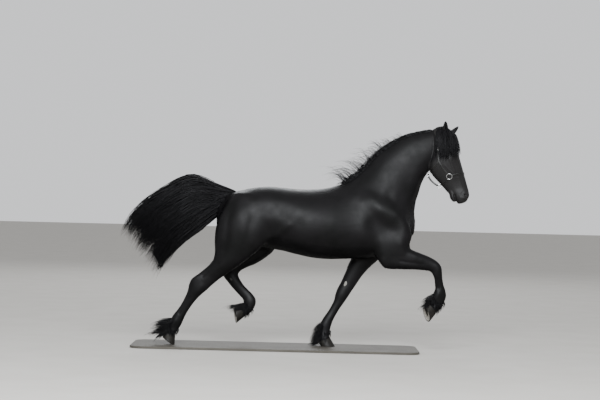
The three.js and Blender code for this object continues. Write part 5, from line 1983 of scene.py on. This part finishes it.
def dressed(obj, slot, *materials):
    """Gives a piece its materials and its body; the slot is not used."""
    for material in materials:
        obj.data.materials.append(material)
    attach(obj, "root")
    return obj


def finish_of(name):
    """A material made by an earlier step."""
    return bpy.data.materials[name]


class HORSE_OT_skin(bpy.types.Operator):
    """Make one skin for head, neck, trunk, ears, limbs and dock"""

    bl_idname = "horse.skin"
    bl_label = "Skin"

    def execute(self, context):
        skin = skin_object()
        smooth(skin, np.ones(len(skin.data.vertices)), 3)
        sculpt(skin)
        opened(thinned(skin, SKIN_TRIANGLES))
        coat_attributes(skin)
        shade_smooth(skin, 55)
        dressed(skin, "coat", coat_material(context.scene.horse_colours))
        names = [n for n in frame["nodes"] if n in ("torso", "neck", "head")]
        names += [n for n in frame["nodes"] if n.startswith("ear_")]
        names += [n for n in frame["nodes"] if n.endswith(("_upper", "_lower"))]
        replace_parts(skin, *names)
        return {"FINISHED"}


class HORSE_OT_tufts(bpy.types.Operator):
    """Scatter short tufts where the coat breaks the outline"""

    bl_idname = "horse.tufts"
    bl_label = "Coat tufts"

    def execute(self, context):
        sizes = context.scene.horse_sizes
        skin = bpy.data.objects["horse_skin"]
        tufts = linked("coat_tufts", skin.data.copy())
        hair = hair_material(context.scene.horse_colours)
        grown(
            tufts, tuft_tree(hair), Length=sizes.tuft_length, Width=sizes.tuft_width,
            Density=sizes.tuft_density, Seed=SEED,
        )
        dressed(tufts, "coat")
        return {"FINISHED"}


class HORSE_OT_chestnuts(bpy.types.Operator):
    """Make the horny chestnuts on the inner side of the legs"""

    bl_idname = "horse.chestnuts"
    bl_label = "Chestnuts"

    def execute(self, context):
        shells = []
        for side, sign in SIDES.items():
            shells.append(chestnut_shell(f"foreleg_{side}", 9.1, -sign * 1.95, 50, 26))
            shells.append(chestnut_shell(f"hindleg_{side}", 10.5, -sign * 1.8, 30, 17))
        chestnuts = mesh_object("chestnuts", shells)
        index = np.arange(len(chestnuts.data.polygons)) // len(shells[0][1]) % 2
        # The forelegs' chestnuts are painted pale grey: partly dry horn, partly a painted reflection
        pale = callus_material("dry_grey_callus", "#8d8a84", "#4c4945")
        dark = callus_material("dark_waxy_callus", "#26231f", "#171513")
        dressed(chestnuts, "hoof", pale, dark)
        set_finishes(chestnuts, index)
        shade_smooth(chestnuts)
        return {"FINISHED"}


class HORSE_OT_eyes(bpy.types.Operator):
    """Make the eyeballs within their lids"""

    bl_idname = "horse.eyes"
    bl_label = "Eyes"

    def execute(self, context):
        materials = eye_materials()
        for side in SIDES:
            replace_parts(eye_object(side, materials), f"eye_{side}")
        return {"FINISHED"}


class HORSE_OT_hooves(bpy.types.Operator):
    """Make the hooves with their soles and frogs"""

    bl_idname = "horse.hooves"
    bl_label = "Hooves"

    def execute(self, context):
        colours = context.scene.horse_colours
        materials = horn_material(colours), sole_material(colours)
        for name in LIMBS:
            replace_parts(hoof_object(name, materials), f"{name}_hoof")
        return {"FINISHED"}


class HORSE_OT_tail(bpy.types.Operator):
    """Make the tail from clumps of long locks"""

    bl_idname = "horse.tail"
    bl_label = "Tail"

    def execute(self, context):
        rng = np.random.default_rng(SEED)
        hair = finish_of("long_black_horse_hair")
        outer = hair_object("tail_hair", tail_groups(rng, 190, (0.62, 1.0)), hair)
        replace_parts(outer, "tail")
        hair_object("tail_core", tail_groups(rng, 150, (0.02, 0.6)), hair)
        hair_object("tail_fringe", fringe_groups(rng, 70), hair)
        return {"FINISHED"}


class HORSE_OT_mane(bpy.types.Operator):
    """Make mane, crest hair, wisps and forelock"""

    bl_idname = "horse.mane"
    bl_label = "Mane and forelock"

    def execute(self, context):
        rng = np.random.default_rng(SEED + 1)
        hair = finish_of("long_black_horse_hair")
        tree = skin_tree()
        hair_object("mane_hair", mane_groups(rng, side_reach(tree), 140), hair)
        loose = crest_groups(rng, 190) + wisp_groups(rng, 70)
        hair_object("crest_hair", loose, hair)
        hair_object("forelock_hair", forelock_groups(rng, head_trees()), hair)
        return {"FINISHED"}


class HORSE_OT_feather(bpy.types.Operator):
    """Make the long hair behind the fetlocks"""

    bl_idname = "horse.feather"
    bl_label = "Feather"

    def execute(self, context):
        hair = finish_of("long_black_horse_hair")
        for k, name in enumerate(LIMBS):
            rng = np.random.default_rng(SEED + 10 + k)
            hair_object(f"{name}_feather", feather_groups(rng, name, 150), hair)
        return {"FINISHED"}


class HORSE_OT_halter(bpy.types.Operator):
    """Make the halter: straps, stitches, rings and buckles"""

    bl_idname = "horse.halter"
    bl_label = "Halter"

    def execute(self, context):
        sizes, colours = context.scene.horse_sizes, context.scene.horse_colours
        trees = head_trees()
        thick = sizes.strap_thickness / MM
        lines = halter_lines(trees)
        leather = leather_material(colours)
        straps = [swept(*line, thick, STRAP_SECTION) for line in lines.values()]
        end = [swept(*strap_end_line(), THROAT_WIDE, END_THICK, STRAP_SECTION)]
        for name, shells, node in (
            ("halter_leather", straps, "halter_straps"),
            ("halter_loose_end", end, "halter_throat_strap_end"),
        ):
            piece = mesh_object(name, shells)
            shade_smooth(piece, 50)
            dressed(piece, "leather", leather)
            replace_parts(piece, node)
        self.stitches(lines, thick, sizes)
        metal = metal_material(colours)
        for name, shells in metal_shells(trees).items():
            piece = mesh_object(f"{name}_metal", shells)
            shade_smooth(piece)
            dressed(piece, "fitting", metal)
            if name in frame["nodes"]:
                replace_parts(piece, name)
        return {"FINISHED"}

    def stitches(self, lines, thick, sizes):
        """Threads along both edges of every strap."""
        points, edges = [], []
        for line, outs, wide in lines.values():
            across, out = frames_along(line, outs, False)
            for edge in (-1, 1):
                start = sum(len(p) for p in points)
                inset = edge * (wide / 2 - 2.6)
                points.append(line + across * inset + out * (thick + 0.1))
                edges += [(start + k, start + k + 1) for k in range(len(line) - 1)]
        mesh = bpy.data.meshes.new("halter_stitches")
        mesh.from_pydata(lifted(np.concatenate(points)), edges, [])
        thread = linked("halter_stitches", mesh)
        grown(thread, stitch_tree(thread_material()), Spacing=sizes.stitch_spacing)
        dressed(thread, "leather")


# The camera as it saw the horse: focal length and width of the photo in its pixels, sensor in mm
FOCAL_PIXELS, PHOTO_WIDTH, SENSOR = 1596, 600, 36


class HORSE_OT_stage(bpy.types.Operator):
    """Finish the base plate and set the floor, the studio light and the camera"""

    bl_idname = "horse.stage"
    bl_label = "Base and stage"

    def execute(self, context):
        scene = context.scene
        plate = frame["nodes"]["stand_base"]
        plate.data.materials.clear()
        plate.data.materials.append(base_material(scene.horse_colours))
        mesh = bpy.data.meshes.new("floor")
        reach = 60
        corners = [(-reach, -reach, 0), (reach, -reach, 0), (reach, reach, 0), (-reach, reach, 0)]
        mesh.from_pydata(corners, [], [(0, 1, 2, 3)])
        floor = linked("floor", mesh)
        mesh.materials.append(floor_material())
        world = bpy.data.worlds.new("soft_sky")
        world.use_nodes = True
        world.node_tree.nodes["Background"].inputs[0].default_value = linear("#e5e6e8")
        world.node_tree.nodes["Background"].inputs[1].default_value = 1.2
        scene.world = world
        self.light("key", (-0.2, -8.8, 5.2), (0.1, 0, 1.1), 6.5, 2500)
        self.light("fill", (-0.5, 12.0, 9.0), (0, 0, 1.1), 8.0, 900)
        camera = bpy.data.cameras.new("camera")
        camera.lens = SENSOR * FOCAL_PIXELS / PHOTO_WIDTH
        camera.sensor_width = SENSOR
        holder = linked("camera", camera)
        holder.location = (0.188, -14.0, 1.3043)
        turn = Matrix.Rotation(math.radians(-1.4), 4, "Y")
        holder.rotation_euler = (turn @ Matrix.Rotation(math.pi / 2, 4, "X")).to_euler()
        scene.camera = holder
        return {"FINISHED"}

    def light(self, name, place, target, size, power):
        lamp = bpy.data.lights.new(name, "AREA")
        lamp.shape = "DISK"
        lamp.size = size
        lamp.energy = power
        lamp.color = (0.94, 0.97, 1.0)
        holder = linked(name, lamp)
        holder.location = place
        way = Vector(target) - Vector(place)
        holder.rotation_euler = way.to_track_quat("-Z", "Y").to_euler()


class HORSE_PT_panel(bpy.types.Panel):
    """Lists the steps that dress the horse, and its sizes and colours"""

    bl_label = "Horse"
    bl_space_type = "VIEW_3D"
    bl_region_type = "UI"
    bl_category = "Horse"

    def draw(self, context):
        for step in STEPS:
            self.layout.operator(step.bl_idname)
        for group in (context.scene.horse_sizes, context.scene.horse_colours):
            for key in group.bl_rna.properties.keys():
                if key not in ("rna_type", "name"):
                    self.layout.prop(group, key)


STEPS = [
    HORSE_OT_skin, HORSE_OT_tufts, HORSE_OT_chestnuts, HORSE_OT_eyes, HORSE_OT_hooves,
    HORSE_OT_tail, HORSE_OT_mane, HORSE_OT_feather, HORSE_OT_halter, HORSE_OT_stage,
]
CLASSES = [HorseSizes, HorseColours, *STEPS, HORSE_PT_panel]


def register():
    for cls in CLASSES:
        bpy.utils.register_class(cls)
    bpy.types.Scene.horse_sizes = bpy.props.PointerProperty(type=HorseSizes)
    bpy.types.Scene.horse_colours = bpy.props.PointerProperty(type=HorseColours)


def unregister():
    del bpy.types.Scene.horse_colours
    del bpy.types.Scene.horse_sizes
    for cls in reversed(CLASSES):
        bpy.utils.unregister_class(cls)


def main():
    register()
    bpy.ops.horse.skin()
    bpy.ops.horse.tufts()
    bpy.ops.horse.chestnuts()
    bpy.ops.horse.eyes()
    bpy.ops.horse.hooves()
    bpy.ops.horse.tail()
    bpy.ops.horse.mane()
    bpy.ops.horse.feather()
    bpy.ops.horse.halter()
    bpy.ops.horse.stage()
    bpy.context.view_layer.update()


if __name__ == "__main__":
    main()
